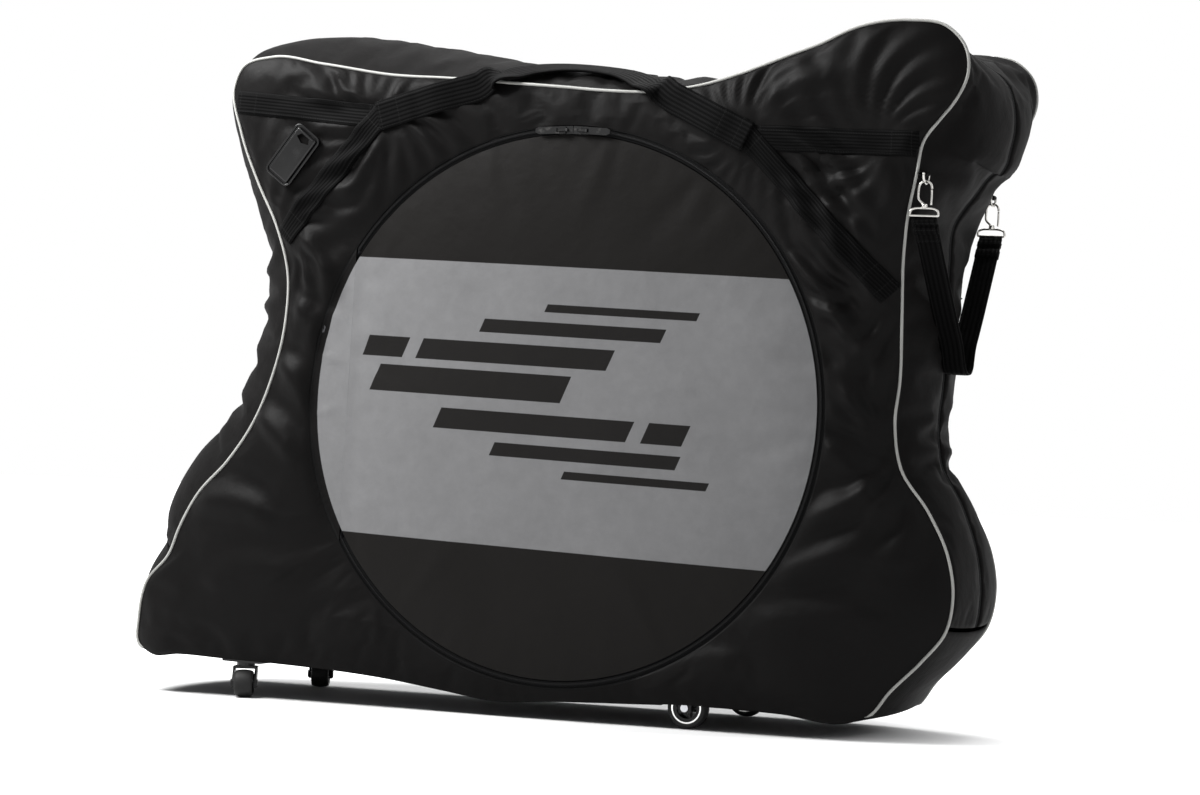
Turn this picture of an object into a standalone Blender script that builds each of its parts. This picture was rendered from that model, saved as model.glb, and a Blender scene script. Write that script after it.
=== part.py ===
"""Soft bike travel bag: padded fabric sides on a wheeled base, as separate solids.

Metres, +Z up, +X towards the tall handlebar end, -Y the near side. The casters are taller than
the fixed wheels, so the bag leans. Everything but the wheels is drawn in the bag's own frame,
whose zero height is the underside of its floor, and hangs from one leaning empty.
"""
from math import asin, atan2, ceil, cos, hypot, pi, radians, sin, sqrt

import bmesh
import bpy
from mathutils import Matrix, Vector

# Whole bag, cut round its wheel pocket
POCKET_RADIUS = 0.350
POCKET_ENDS = 0.400         # outline beyond the pocket, at both ends together
POCKET_OVER = 0.140         # ear over the pocket
POCKET_FLOOR = 0.005        # floor to the pocket's edge
BAG_LENGTH = 2 * POCKET_RADIUS + POCKET_ENDS
BAG_HEIGHT = 2 * POCKET_RADIUS + POCKET_OVER
BAG_DEPTH = 0.320           # piping to piping at the widest place
FLOOR_HALF = 0.79 * BAG_DEPTH / 2
CROWN_RISE = 0.080          # most that the gusset stands proud of the piping
OUTLINE_FACET = 0.062       # usual step round the outline
CLEARANCE = 0.0003          # between pieces that touch
BOOT_HEIGHT = 0.118         # end seams, where the base boot meets the gusset

# Fabric and trim
PANEL_THICK = 0.0030
GUSSET_THICK = 0.0030
BOOT_THICK = 0.0030
PIPING_RADIUS = 0.0023
PANEL_PUFF = 0.0060         # how far the padding swells between pocket and piping
MAIN_CHAIN_HALF = 0.0060    # width of one half of the main zip's chain
CHAIN_THICK = 0.0024
CHAIN_SINK = 0.0004         # chain below the fabric's face
CROWN_POWER = 2.2           # shape of the gusset's swell across the bag

# Round wheel pocket
POCKET_X = -0.010
POCKET_Z = POCKET_RADIUS + POCKET_FLOOR
POCKET_SINK = 0.025         # pocket's face behind the widest piping
POCKET_HALF_DEPTH = BAG_DEPTH / 2 - POCKET_SINK
POCKET_DEEP = 0.057         # room between door and liner
POCKET_CHAIN = 0.0085       # width of the pocket zip's chain
DOOR_THICK = 0.0030
DOOR_DOME = 0.0070
DOOR_SEAM_X = 0.8429 * POCKET_RADIUS    # pocket's middle to the sewn seam that the door turns on
LINER_THICK = 0.0020
EDGE_SLACK = 0.0018         # panel's edge is cut this much wide, to clear the zip between its corners
LINER_SET_IN = 0.0045       # liner's wall inside the pocket's edge

# Zip sliders and pulls
SLIDER_LONG = 0.0260
SLIDER_WIDE = 0.0100
SLIDER_PLATE = 0.0028
ARCH_LONG = 0.0130
ARCH_WIDE = 0.0036
ARCH_HIGH = 0.0056
ARCH_BAR = 0.0017
PULL_LONG = 0.0400
PULL_WIDE = 0.0090
PULL_THICK = 0.0016
PULL_BAR = 0.0020
SLIDER_LIFT = 0.0006
MAIN_ZIP_MEET = POCKET_X    # where the main zip's sliders meet, along the bag

# Webbing, handles and tag holder
YOKE_WIDE = 0.030
YOKE_THICK = 0.0015
YOKE_LIFT = 0.0017
HANDLE_WIDE = 0.038
HANDLE_THICK = 0.0030
WEB_LIFT = 0.0009
HANDLE_LOOSE = 0.0065       # how high the loose handle lies off the gusset
TAG_LONG = 0.078
TAG_WIDE = 0.042
TAG_THICK = 0.0050
TAG_RIM = 0.0045
TAG_RECESS = 0.0015
TAG_LEAN = radians(53.5)

# Pull strap, rings and snap hooks
STRAP_WIDE = 0.025
STRAP_THICK = 0.0022
WIRE_RADIUS = 0.0015
RING_HALF = 0.0115
RING_Z = 0.7798 * BAG_HEIGHT
RING_SET_IN = 0.010
RING_Y = BAG_DEPTH / 2 - RING_SET_IN
RING_OUT = 0.0105           # piping to the ring's bar
TAB_THICK = 0.0034
HOOK_RADIUS = 0.0055
HOOK_LEG = 0.0160
BARREL_RADIUS = 0.0037
BARREL_LONG = 0.0060
EYE_WIDE = 0.0290
EYE_HIGH = 0.0080
STRAP_DROP = 0.180
STRAP_LEAN = 0.0100         # how far the strap's low point hangs out from its rings
STRAP_TURN = 0.022          # half width of the strap's low bend

# Base board, rails and bicycle supports
BOARD_THICK = 0.0050
BOARD_LIFT = 0.0009         # board above the boot's inner face
BOARD_LEFT = -0.4727 * BAG_LENGTH
BOARD_RIGHT = 0.3273 * BAG_LENGTH
BOARD_SET_IN = 0.0384       # board's edge inside the floor's, by the fixed wheels
BOARD_HALF = FLOOR_HALF - BOARD_SET_IN
BOARD_END_SET_IN = 0.0074
BOARD_END_HALF = FLOOR_HALF - BOARD_END_SET_IN
BOARD_END_LONG = 0.135
RAIL_WIDE = 0.020
RAIL_HIGH = 0.005
RAIL_Y = 0.269 * FLOOR_HALF
RAIL_LEFT = -0.3273 * BAG_LENGTH
RAIL_RIGHT = 0.3182 * BAG_LENGTH
RIVET_RADIUS = 0.0036
RIVET_HIGH = 0.0018
FORK_MOUNT_X = 0.2909 * BAG_LENGTH
FORK_MOUNT_LONG = 0.040
FORK_MOUNT_WIDE = 0.100
FORK_END_ROOM = 0.0070      # room for a fork's end beside the mount, with the skewer open
FORK_MOUNT_HIGH = 0.070
SKEWER_RADIUS = 0.0025
SKEWER_DOWN = 0.014         # skewer below the mount's top
SKEWER_NUT = 0.0080
NUT_LONG = 0.0060
SKEWER_SHOW = 0.0010        # skewer between its far nut and the lever
LEVER_LONG = 0.030
LEVER_WIDE = 0.0100
LEVER_THICK = 0.0040
CRADLE_X = -0.0727 * BAG_LENGTH
CRADLE_LONG = 0.070
CRADLE_WIDE = 0.066
CRADLE_HIGH = 0.045
CRADLE_NOTCH = 0.026

# Casters at the low end
CASTER_X = -0.4064 * BAG_LENGTH
WHEEL_SET_IN = 0.0214       # wheels' middle inside the floor's edge
WHEEL_Y = FLOOR_HALF - WHEEL_SET_IN
CASTER_HEIGHT = 0.048
CASTER_WHEEL_RADIUS = 0.018
CASTER_WHEEL_WIDE = 0.024
CASTER_TRAIL = 0.014
CASTER_TURN = radians(113)  # how far the casters stand turned from straight ahead
CASTER_PLATE_LONG = 0.056
CASTER_PLATE_WIDE = 0.028
CASTER_PLATE_THICK = 0.0030
FORK_LEG = 0.0030
FORK_CROWN = 0.0030
FORK_GAP = 0.0007
RACE_RADIUS = 0.0120
AXLE_RADIUS = 0.0030
AXLE_HEAD_RADIUS = 0.0050
AXLE_HEAD_LONG = 0.0016
BORE_GAP = 0.0004

# Fixed wheels at the tall end
FIXED_X = 0.1609 * BAG_LENGTH
FIXED_WHEEL_RADIUS = 0.026
FIXED_WHEEL_WIDE = 0.020
FIXED_AXLE_DROP = 0.004     # axle below the floor's underside
BRACKET_LONG = 0.016
BRACKET_WALL = 0.0025
BRACKET_FLANGE = 0.028
WELL_HALF_LONG = 0.031
WELL_SIDE = 0.0045          # inner edge of the floor's hole to the bracket

SIDES = {"front": -1, "rear": 1}

# Outline of a side, clockwise from its low ear as seen from the near side: shares of the bag's
# length, height and half depth, and of the crown's rise.
OUTLINE_SHARES = (
    (-0.457, 0.895, 0.81, 0.50),
    (-0.448, 0.923, 0.81, 0.44),
    (-0.408, 0.940, 0.81, 0.44),
    (-0.339, 0.930, 0.81, 0.62),
    (-0.245, 0.914, 0.81, 0.65),
    (-0.170, 0.910, 0.81, 0.55),
    (-0.105, 0.905, 0.81, 0.45),
    (-0.027, 0.899, 0.81, 0.41),
    (0.019, 0.895, 0.81, 0.40),
    (0.085, 0.894, 0.82, 0.33),
    (0.136, 0.902, 0.84, 0.23),
    (0.187, 0.919, 0.88, 0.10),
    (0.239, 0.942, 0.92, -0.03),
    (0.281, 0.960, 0.96, -0.10),
    (0.332, 0.987, 0.99, -0.17),
    (0.387, 0.995, 1.00, -0.23),
    (0.427, 0.987, 1.00, -0.23),
    (0.450, 0.956, 1.00, -0.15),
    (0.454, 0.923, 1.00, 0.10),
    (0.442, 0.883, 1.00, 0.45),
    (0.425, 0.855, 0.99, 0.68),
    (0.409, 0.827, 0.98, 0.70),
    (0.402, 0.780, 0.96, 0.42),
    (0.393, 0.726, 0.91, 0.20),
    (0.386, 0.667, 0.81, 0.25),
    (0.385, 0.583, 0.74, 0.28),
    (0.385, 0.490, 0.69, 0.28),
    (0.381, 0.424, 0.66, 0.30),
    (0.390, 0.363, 0.64, 0.28),
    (0.423, 0.304, 0.62, 0.20),
    (0.447, 0.244, 0.61, 0.12),
    (0.455, 0.185, 0.60, 0.10),
    (0.449, 0.137, 0.59, 0.12),
    (0.424, 0.092, 0.59, 0.15),
    (0.391, 0.045, 0.61, 0.12),
    (0.369, 0.007, 0.64, 0.05),
    (0.349, -0.004, 0.68, 0.00),
    (0.273, 0.000, 0.75, 0.00),
    (0.183, 0.000, 0.79, 0.00),
    (0.091, -0.007, 0.79, -0.07),
    (0.000, -0.015, 0.79, -0.16),
    (-0.073, -0.023, 0.79, -0.24),
    (-0.136, -0.015, 0.79, -0.16),
    (-0.209, -0.006, 0.79, -0.06),
    (-0.357, 0.000, 0.79, 0.00),
    (-0.430, 0.000, 0.80, 0.00),
    (-0.491, 0.000, 0.81, 0.00),
    (-0.525, -0.004, 0.81, 0.03),
    (-0.542, 0.010, 0.81, 0.17),
    (-0.545, 0.054, 0.81, 0.38),
    (-0.537, 0.110, 0.81, 0.55),
    (-0.509, 0.155, 0.81, 0.75),
    (-0.496, 0.200, 0.81, 0.93),
    (-0.473, 0.255, 0.81, 0.97),
    (-0.436, 0.308, 0.81, 0.97),
    (-0.405, 0.370, 0.80, 1.00),
    (-0.385, 0.438, 0.79, 1.02),
    (-0.370, 0.536, 0.79, 1.02),
    (-0.372, 0.605, 0.78, 1.00),
    (-0.390, 0.677, 0.79, 0.80),
    (-0.419, 0.745, 0.79, 0.62),
    (-0.444, 0.821, 0.81, 0.55),
)
# Places on a side panel, as shares of the bag's length and height.
LOW_KNOT_SHARES = (-0.254, 0.848)
TALL_KNOT_SHARES = (0.207, 0.826)
YOKE_END_SHARES = {
    "low": ((-0.446, 0.868), (-0.374, 0.662)),
    "tall": ((0.372, 0.821), (0.366, 0.622)),
}
TAG_SHARES = (-0.362, 0.786)
HANDLE_CROSS_SHARES = (-0.134, 0.106)
# The handle's lie on the gusset: place between its crossings, and nearness to the piping.
HANDLE_LIE_SHARES = ((0.03, 0.92), (0.14, 0.80), (0.28, 0.66), (0.50, 0.60),
                     (0.72, 0.66), (0.86, 0.80), (0.97, 0.92))
GUSSET_SHARES = (1.0, 0.80, 0.45)
BOOT_SHARES = (-1.0, -0.82, -0.45, 0.0, 0.45, 0.82, 1.0)
PANEL_SHARES = (0.0, 0.45, 1.0)
DOOR_SHARES = (1.0, 0.8, 0.42, 0.0)
STRAP_SHARES = (-1.0, -0.33, 0.33, 1.0)
RAIL_RIVET_SHARES = (0.03, 0.28, 0.64, 0.84)


# Materials

def finish(name, colour, roughness, metallic=0.0):
    """One Principled finish."""
    material = bpy.data.materials.new(name)
    material.use_nodes = True
    shader = material.node_tree.nodes["Principled BSDF"]
    shader.inputs["Base Color"].default_value = (*colour, 1.0)
    shader.inputs["Roughness"].default_value = roughness
    shader.inputs["Metallic"].default_value = metallic
    return material


def all_finishes():
    """Every finish of the bag, by its slot's name."""
    return {
        "nylon": finish("nylon", (0.018, 0.018, 0.020), 0.45),
        "nylon_grey": finish("nylon_grey", (0.30, 0.31, 0.33), 0.5),
        "lining": finish("lining", (0.05, 0.05, 0.055), 0.7),
        "piping": finish("piping", (0.66, 0.66, 0.64), 0.5),
        "webbing": finish("webbing", (0.022, 0.022, 0.023), 0.65),
        "zip": finish("zip", (0.02, 0.02, 0.02), 0.4),
        "nickel": finish("nickel", (0.75, 0.75, 0.73), 0.22, 1.0),
        "steel": finish("steel", (0.55, 0.56, 0.58), 0.3, 1.0),
        "alloy": finish("alloy", (0.68, 0.69, 0.70), 0.35, 1.0),
        "board": finish("board", (0.04, 0.04, 0.042), 0.6),
        "plastic": finish("plastic", (0.02, 0.02, 0.021), 0.4),
        "tyre": finish("tyre", (0.03, 0.03, 0.03), 0.7),
    }


# Carriers and nodes

PLACES = {}


def carrier(name, at, parent=None, turn=(0, 0, 0)):
    """An empty whose origin is a joint's axis or a frame's zero."""
    empty = bpy.data.objects.new(name, None)
    bpy.context.collection.objects.link(empty)
    PLACES[name] = Vector(at)
    empty.location = Vector(at) - (PLACES[parent.name] if parent else Vector())
    empty.rotation_euler = turn
    empty.parent = parent
    return empty


def node(name, data, slot, parent, finishes, sharp=radians(35)):
    """Names a body, dresses it and hangs it on its carrier, drawn in the carrier's frame."""
    if isinstance(data, bmesh.types.BMesh):
        mesh = bpy.data.meshes.new(name)
        data.to_mesh(mesh)
        data.free()
    else:
        mesh = data.copy()
    mesh.name = name
    mesh.transform(Matrix.Translation(-PLACES[parent.name]))
    mesh.shade_smooth()
    mesh.set_sharp_from_angle(angle=sharp)
    mesh.materials.clear()
    mesh.materials.append(finishes[slot])
    body = bpy.data.objects.new(name, mesh)
    bpy.context.collection.objects.link(body)
    body.parent = parent
    return body


# Solids

def lattice(rows, ring=False, bm=None):
    """A closed body over rows of closed sections: capped at its ends, or joined in a ring."""
    bm = bm or bmesh.new()
    grid = [[bm.verts.new(point) for point in row] for row in rows]
    count, across = len(grid), len(grid[0])
    faces = []
    for i in range(count if ring else count - 1):
        here, there = grid[i], grid[(i + 1) % count]
        for j in range(across):
            k = (j + 1) % across
            faces.append(bm.faces.new((here[j], here[k], there[k], there[j])))
    if not ring:
        faces.append(bm.faces.new(grid[0]))
        faces.append(bm.faces.new(list(reversed(grid[-1]))))
    bmesh.ops.remove_doubles(bm, verts=[v for row in grid for v in row], dist=CLEARANCE / 30)
    bmesh.ops.recalc_face_normals(bm, faces=bm.faces)
    return bm


def box(low, high):
    """A block between two corners."""
    bm = bmesh.new()
    low, high = Vector(low), Vector(high)
    place = Matrix.Translation((low + high) / 2) @ Matrix.Diagonal((*(high - low), 1))
    bmesh.ops.create_cube(bm, size=1, matrix=place)
    return bm


def rod(start, end, radius, sides=16):
    """A round rod between two points, with a corner of its section straight below the middle."""
    bm = bmesh.new()
    start, end = Vector(start), Vector(end)
    along = end - start
    turn = along.to_track_quat("Z", "Y").to_matrix().to_4x4()
    place = Matrix.Translation((start + end) / 2) @ turn
    bmesh.ops.create_cone(bm, cap_ends=True, segments=sides, radius1=radius, radius2=radius,
                          depth=along.length, matrix=place)
    return bm


def turned(profile, middle, axis, steps):
    """Spins a closed profile of (radius, place along the axis) round an axis, y or z."""
    bm = bmesh.new()
    middle = Vector(middle)
    spin_axis = Vector((0, 1, 0)) if axis == "y" else Vector((0, 0, 1))
    outwards = Vector((0, 0, -1)) if axis == "y" else Vector((1, 0, 0))
    verts = [bm.verts.new(middle + outwards * radius + spin_axis * along) for radius, along in profile]
    edges = [bm.edges.new((verts[i - 1], verts[i])) for i in range(len(verts))]
    bmesh.ops.spin(bm, geom=verts + edges, cent=middle, axis=spin_axis, angle=2 * pi,
                   steps=steps, use_merge=True)
    bmesh.ops.remove_doubles(bm, verts=bm.verts, dist=CLEARANCE / 30)
    bmesh.ops.recalc_face_normals(bm, faces=bm.faces)
    return bm


def slab(outline, low, high, axis):
    """Extrudes a flat outline from one level to another, along x, y or z."""
    def corner(point, level):
        if axis == "y":
            return Vector((point[0], level, point[1]))
        if axis == "x":
            return Vector((level, point[0], point[1]))
        return Vector((point[0], point[1], level))
    return lattice([[corner(point, level) for point in outline] for level in (low, high)])


def tube(path, radius, sides=8, ring=False):
    """A round tube along a path, its section kept square to the path."""
    rows = []
    count = len(path)
    guide = None
    for i, point in enumerate(path):
        before = path[i - 1] if (ring or i) else point
        after = path[(i + 1) % count] if (ring or i < count - 1) else point
        along = (after - before).normalized()
        if guide is None:
            guide = along.orthogonal().normalized()
        guide = (guide - along * guide.dot(along)).normalized()
        across = along.cross(guide)
        rows.append([point + (guide * cos(a) + across * sin(a)) * radius
                     for a in (2 * pi * k / sides for k in range(sides))])
    return lattice(rows, ring=ring)


def combine(base, *steps):
    """Applies exact boolean steps to a body and gives back one mesh."""
    def holder(data):
        mesh = bpy.data.meshes.new("part_of_a_body")
        data.to_mesh(mesh)
        data.free()
        body = bpy.data.objects.new("part_of_a_body", mesh)
        bpy.context.collection.objects.link(body)
        return body
    body = holder(base)
    tools = []
    for operation, data in steps:
        tool = holder(data)
        tools.append(tool)
        cut = body.modifiers.new(operation.lower(), "BOOLEAN")
        cut.operation = operation
        cut.solver = "EXACT"
        cut.object = tool
    bpy.context.view_layer.update()
    dressed = body.evaluated_get(bpy.context.evaluated_depsgraph_get())
    mesh = bpy.data.meshes.new_from_object(dressed)
    for used in [body, *tools]:
        data = used.data
        bpy.data.objects.remove(used)
        bpy.data.meshes.remove(data)
    return mesh


# The outline and the skins drawn on it

class Outline:
    """The closed outline of a side: places, half depths, crowns and outward directions."""

    def __init__(self):
        size = (BAG_LENGTH, BAG_HEIGHT, BAG_DEPTH / 2, CROWN_RISE)
        knots = [Vector([share * full for share, full in zip(row, size)]) for row in OUTLINE_SHARES]
        self.points = []
        for i in range(len(knots)):
            self.points += self.span(*(knots[(i + k) % len(knots)] for k in (-1, 0, 1, 2)))
        self.count = len(self.points)
        self.normals = []
        for i in range(self.count):
            ahead = self.points[(i + 1) % self.count] - self.points[i - 1]
            self.normals.append(Vector((-ahead[1], ahead[0])).normalized())

    @staticmethod
    def span(before, start, end, after):
        """Steps of a smooth cubic from one knot to the next, without the end knot."""
        gaps = [(b.xy - a.xy).length for a, b in ((before, start), (start, end), (end, after))]
        ways = [(start - before) / gaps[0], (end - start) / gaps[1], (after - end) / gaps[2]]
        leave = (ways[0] * gaps[1] + ways[1] * gaps[0]) / (gaps[0] + gaps[1]) * gaps[1]
        reach = (ways[1] * gaps[2] + ways[2] * gaps[1]) / (gaps[1] + gaps[2]) * gaps[1]
        steps = max(1, round(gaps[1] / OUTLINE_FACET))
        found = []
        for k in range(steps):
            t = k / steps
            found.append(start * (2 * t**3 - 3 * t**2 + 1) + leave * (t**3 - 2 * t**2 + t)
                         + end * (3 * t**2 - 2 * t**3) + reach * (t**3 - t**2))
        return found

    def at(self, place):
        """Point and outward direction at a place counted in steps, whole or not."""
        i = int(place // 1)
        part = place - i
        here, there = i % self.count, (i + 1) % self.count
        point = self.points[here].lerp(self.points[there], part)
        return point, self.normals[here].lerp(self.normals[there], part).normalized()

    def index_near(self, x, z):
        """The step nearest to a place on the side."""
        return min(range(self.count), key=lambda i: (self.points[i].xy - Vector((x, z))).length)

    def top_place(self, x):
        """The place on the top edge above a place along the bag."""
        tops = range(self.index_near(-BAG_LENGTH / 3, BAG_HEIGHT),
                     self.index_near(BAG_LENGTH / 3, BAG_HEIGHT))
        for i in tops:
            low, high = self.points[i][0], self.points[i + 1][0]
            if low <= x <= high:
                return i + (x - low) / (high - low)
        return float(tops[0])

    def tall_place(self, z):
        """The place on the tall end's edge at a height."""
        ear, foot = self.index_near(BAG_LENGTH / 2, BAG_HEIGHT), self.index_near(BAG_LENGTH / 2, BOOT_HEIGHT)
        for i in range(ear, foot):
            high, low = self.points[i][1], self.points[i + 1][1]
            if low <= z <= high:
                return i + (high - z) / (high - low)
        return float(foot)

    def skin(self, place, across, sink=0.0):
        """A point on the gusset or boot: across runs from -1, near piping, to 1, far piping."""
        point, out = self.at(place)
        half = point[2] - PANEL_THICK - CLEARANCE
        rise = point[3] * (1 - abs(across) ** CROWN_POWER) - sink
        return Vector((point[0] + out[0] * rise, across * half, point[1] + out[1] * rise))

    def skin_normal(self, place, across):
        """Outward direction of the gusset there."""
        step = 0.02
        along = self.skin(place + step, across) - self.skin(place - step, across)
        over = self.skin(place, across + step) - self.skin(place, across - step)
        return over.cross(along).normalized() if over.cross(along).dot(self.out3(place)) > 0 \
            else along.cross(over).normalized()

    def out3(self, place):
        """The outline's outward direction in space."""
        out = self.at(place)[1]
        return Vector((out[0], 0, out[1]))

    def edge_half(self, place):
        """Share across at which the main zip's chain begins."""
        half = self.at(place)[0][2] - PANEL_THICK - CLEARANCE
        return (MAIN_CHAIN_HALF + CLEARANCE) / half


class Panel:
    """The padded side between the round pocket and the piping."""

    def __init__(self, outline):
        self.outline = outline
        self.middle = Vector((POCKET_X, POCKET_Z))
        self.rim = []
        inset = PIPING_RADIUS + CLEARANCE
        for point, out in zip(outline.points, outline.normals):
            self.rim.append((point.xy - out * inset, point[2]))
        self.holes = [self.hole((rim - self.middle).normalized()) for rim, _ in self.rim]
        reach = POCKET_RADIUS + EDGE_SLACK
        seam = DOOR_SEAM_X + CLEARANCE
        for way in (-1, 1):
            corner = self.middle + Vector((-seam, way * sqrt(reach ** 2 - seam ** 2)))
            nearest = min(range(outline.count), key=lambda i: (self.holes[i] - corner).length)
            self.holes[nearest] = corner

    def hole(self, towards):
        """The pocket's edge in a direction from its middle: round, but straight at the door's seam."""
        if -towards[0] * (POCKET_RADIUS + EDGE_SLACK) > DOOR_SEAM_X + CLEARANCE:
            return self.middle + towards * (DOOR_SEAM_X + CLEARANCE) / -towards[0]
        return self.middle + towards * (POCKET_RADIUS + EDGE_SLACK)

    def ring_points(self, i):
        """Points from the pocket's edge out to the piping, with their half depths."""
        rim, half = self.rim[i]
        hole = self.holes[i]
        swell = min(PANEL_PUFF, (rim - hole).length / 12)
        return [(hole.lerp(rim, t), POCKET_HALF_DEPTH + (half - POCKET_HALF_DEPTH) * t
                 + swell * 4 * t * (1 - t)) for t in PANEL_SHARES]

    def half_depth(self, x, z):
        """Half depth of the panel's face at a place on it."""
        towards = Vector((x, z)) - self.middle
        angle = atan2(towards[1], towards[0])
        best, part = 0, 0.0
        for i in range(self.outline.count):
            a = self.rim[i][0] - self.middle
            b = self.rim[(i + 1) % self.outline.count][0] - self.middle
            start, sweep = atan2(a[1], a[0]), atan2(b[1], b[0])
            width = (sweep - start + pi) % (2 * pi) - pi
            offset = (angle - start + pi) % (2 * pi) - pi
            if width and 0 <= offset / width < 1:
                best, part = i, offset / width
        rows = [self.ring_points(best), self.ring_points((best + 1) % self.outline.count)]
        ring = [(a[0].lerp(b[0], part), a[1] + (b[1] - a[1]) * part) for a, b in zip(*rows)]
        reach = towards.length
        spans = [((point - self.middle).length, half) for point, half in ring]
        for (low, half_low), (high, half_high) in zip(spans, spans[1:]):
            if reach <= high or high == spans[-1][0]:
                t = (reach - low) / (high - low)
                return half_low + (half_high - half_low) * min(max(t, 0), 1)
        return POCKET_HALF_DEPTH

    def face_point(self, side, x, z, lift):
        """A point off the panel's face."""
        return Vector((x, side * (self.half_depth(x, z) + lift), z))

    def face_normal(self, side, x, z):
        """Outward direction of the panel there."""
        step = 2 * YOKE_WIDE / 3
        along = self.face_point(side, x + step, z, 0) - self.face_point(side, x - step, z, 0)
        up = self.face_point(side, x, z + step, 0) - self.face_point(side, x, z - step, 0)
        normal = along.cross(up).normalized()
        return normal if normal[1] * side > 0 else -normal


def on_bag(shares):
    """A place on a side panel from shares of length and height."""
    return shares[0] * BAG_LENGTH, shares[1] * BAG_HEIGHT


def ribbon_rows(points, normals, width, thick):
    """Sections of a flat strap whose underside follows the points, its last two corners outermost."""
    rows = []
    for i, (point, normal) in enumerate(zip(points, normals)):
        along = points[min(i + 1, len(points) - 1)] - points[max(i - 1, 0)]
        across = normal.cross(along).normalized() * width / 2
        up = along.cross(across).normalized()
        up = up if up.dot(normal) > 0 else -up
        rows.append([point - across, point + across, point + across + up * thick,
                     point - across + up * thick])
    return rows


# Sub-assemblies

def seam_indices(outline):
    """The steps of the outline where the boot's end seams lie: low end, tall end."""
    low = outline.index_near(-BAG_LENGTH / 2, BOOT_HEIGHT)
    tall = outline.index_near(BAG_LENGTH / 2, BOOT_HEIGHT)
    return low, tall


def seam_step(outline, i):
    """How much of a step one clearance is, next to a seam."""
    return CLEARANCE / (outline.points[(i + 1) % outline.count].xy - outline.points[i].xy).length


def side_shell(outline, panel, name, side, body, finishes):
    """Padded panel, piping, half of the gusset and half of the main zip's chain."""
    rows = []
    for i in range(outline.count):
        ring = panel.ring_points(i)
        rows.append([Vector((p[0], side * half, p[1])) for p, half in ring]
                    + [Vector((p[0], side * (half - PANEL_THICK), p[1])) for p, half in reversed(ring)])
    node(name + "_panel", lattice(rows, ring=True), "nylon", body, finishes)

    welt = [Vector((p[0], side * p[2], p[1])) for p in outline.points]
    node(name + "_piping", tube(welt, PIPING_RADIUS, sides=5, ring=True), "piping", body, finishes)

    low, tall = seam_indices(outline)
    places = [float(i) for i in range(low - outline.count, tall + 1)]
    places[0] += seam_step(outline, low)
    places[-1] -= seam_step(outline, tall - 1)
    skins, chains = [], []
    for place in places:
        zip_edge = outline.edge_half(place) + CLEARANCE / outline.at(place)[0][2]
        acrosses = [side * share for share in GUSSET_SHARES] + [side * zip_edge]
        skins.append([outline.skin(place, a) for a in acrosses]
                     + [outline.skin(place, a, GUSSET_THICK) for a in reversed(acrosses)])
        edges = (side * outline.edge_half(place), side * CLEARANCE / outline.at(place)[0][2])
        chains.append([outline.skin(place, a, CHAIN_SINK) for a in edges]
                      + [outline.skin(place, a, CHAIN_SINK + CHAIN_THICK) for a in reversed(edges)])
    node(name + "_gusset", lattice(skins), "nylon", body, finishes)
    node(name + "_main_zip_chain", lattice(chains), "zip", body, finishes)


def slider_mesh():
    """A zip slider lying along x on z = 0, its arch over the pull's bar."""
    half = ARCH_LONG / 2
    top = SLIDER_PLATE + ARCH_HIGH
    plate = slab(((-SLIDER_LONG / 2, -SLIDER_WIDE / 3), (-SLIDER_LONG / 4, -SLIDER_WIDE / 2),
                  (SLIDER_LONG / 2, -SLIDER_WIDE / 2), (SLIDER_LONG / 2, SLIDER_WIDE / 2),
                  (-SLIDER_LONG / 4, SLIDER_WIDE / 2), (-SLIDER_LONG / 2, SLIDER_WIDE / 3)),
                 0, SLIDER_PLATE, "z")
    arch = slab(((-half, SLIDER_PLATE / 2), (-half, top - ARCH_BAR), (-half + ARCH_BAR, top),
                 (half - ARCH_BAR, top),
                 (half, top - ARCH_BAR), (half, SLIDER_PLATE / 2), (half - ARCH_BAR, SLIDER_PLATE / 2),
                 (half - ARCH_BAR, top - ARCH_BAR), (-half + ARCH_BAR, top - ARCH_BAR),
                 (-half + ARCH_BAR, SLIDER_PLATE / 2)), -ARCH_WIDE / 2, ARCH_WIDE / 2, "y")
    return combine(plate, ("UNION", arch))


def pull_mesh():
    """A zip pull lying along -x from its bar, which is on y through x = 0, z = 0."""
    window = ARCH_WIDE / 2 + 2 * CLEARANCE
    plate = slab(((PULL_BAR / 2, -PULL_WIDE / 2 + PULL_BAR / 2), (PULL_BAR / 2, PULL_WIDE / 2 - PULL_BAR / 2),
                  (0, PULL_WIDE / 2), (PULL_WIDE / 2 - PULL_LONG, PULL_WIDE / 2), (-PULL_LONG, PULL_WIDE / 4),
                  (-PULL_LONG, -PULL_WIDE / 4), (PULL_WIDE / 2 - PULL_LONG, -PULL_WIDE / 2),
                  (0, -PULL_WIDE / 2)),
                 -PULL_THICK / 2, PULL_THICK / 2, "z")
    eye = box((-PULL_BAR / 2 - ARCH_LONG * 0.8, -window, -PULL_THICK), (-PULL_BAR / 2, window, PULL_THICK))
    return combine(plate, ("DIFFERENCE", eye))


def place_mesh(mesh, matrix):
    """A placed copy of a mesh."""
    copy = mesh.copy()
    copy.transform(matrix)
    return copy


def zip_slider(name, at, along, up, parent, finishes, meshes, turn=(0, 0, 0), axis_at=None):
    """A slider and its pull: along points from the pull's tip towards the slider's nose."""
    along, up = Vector(along).normalized(), Vector(up).normalized()
    across = up.cross(along)
    frame = Matrix((along, across, up)).transposed().to_4x4()
    at = Vector(at)
    body = carrier(name + "_slider_carrier", axis_at if axis_at else at, parent, turn)
    node(name + "_slider", place_mesh(meshes[0], Matrix.Translation(at) @ frame), "nickel", body, finishes)
    bar = at + up * (SLIDER_PLATE + PULL_BAR * 0.75) + along * (ARCH_LONG / 2 - ARCH_BAR - PULL_BAR)
    pivot = carrier(name + "_pull_pivot", bar, body)
    node(name + "_pull", place_mesh(meshes[1], Matrix.Translation(bar) @ frame), "nickel", pivot, finishes)


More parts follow.
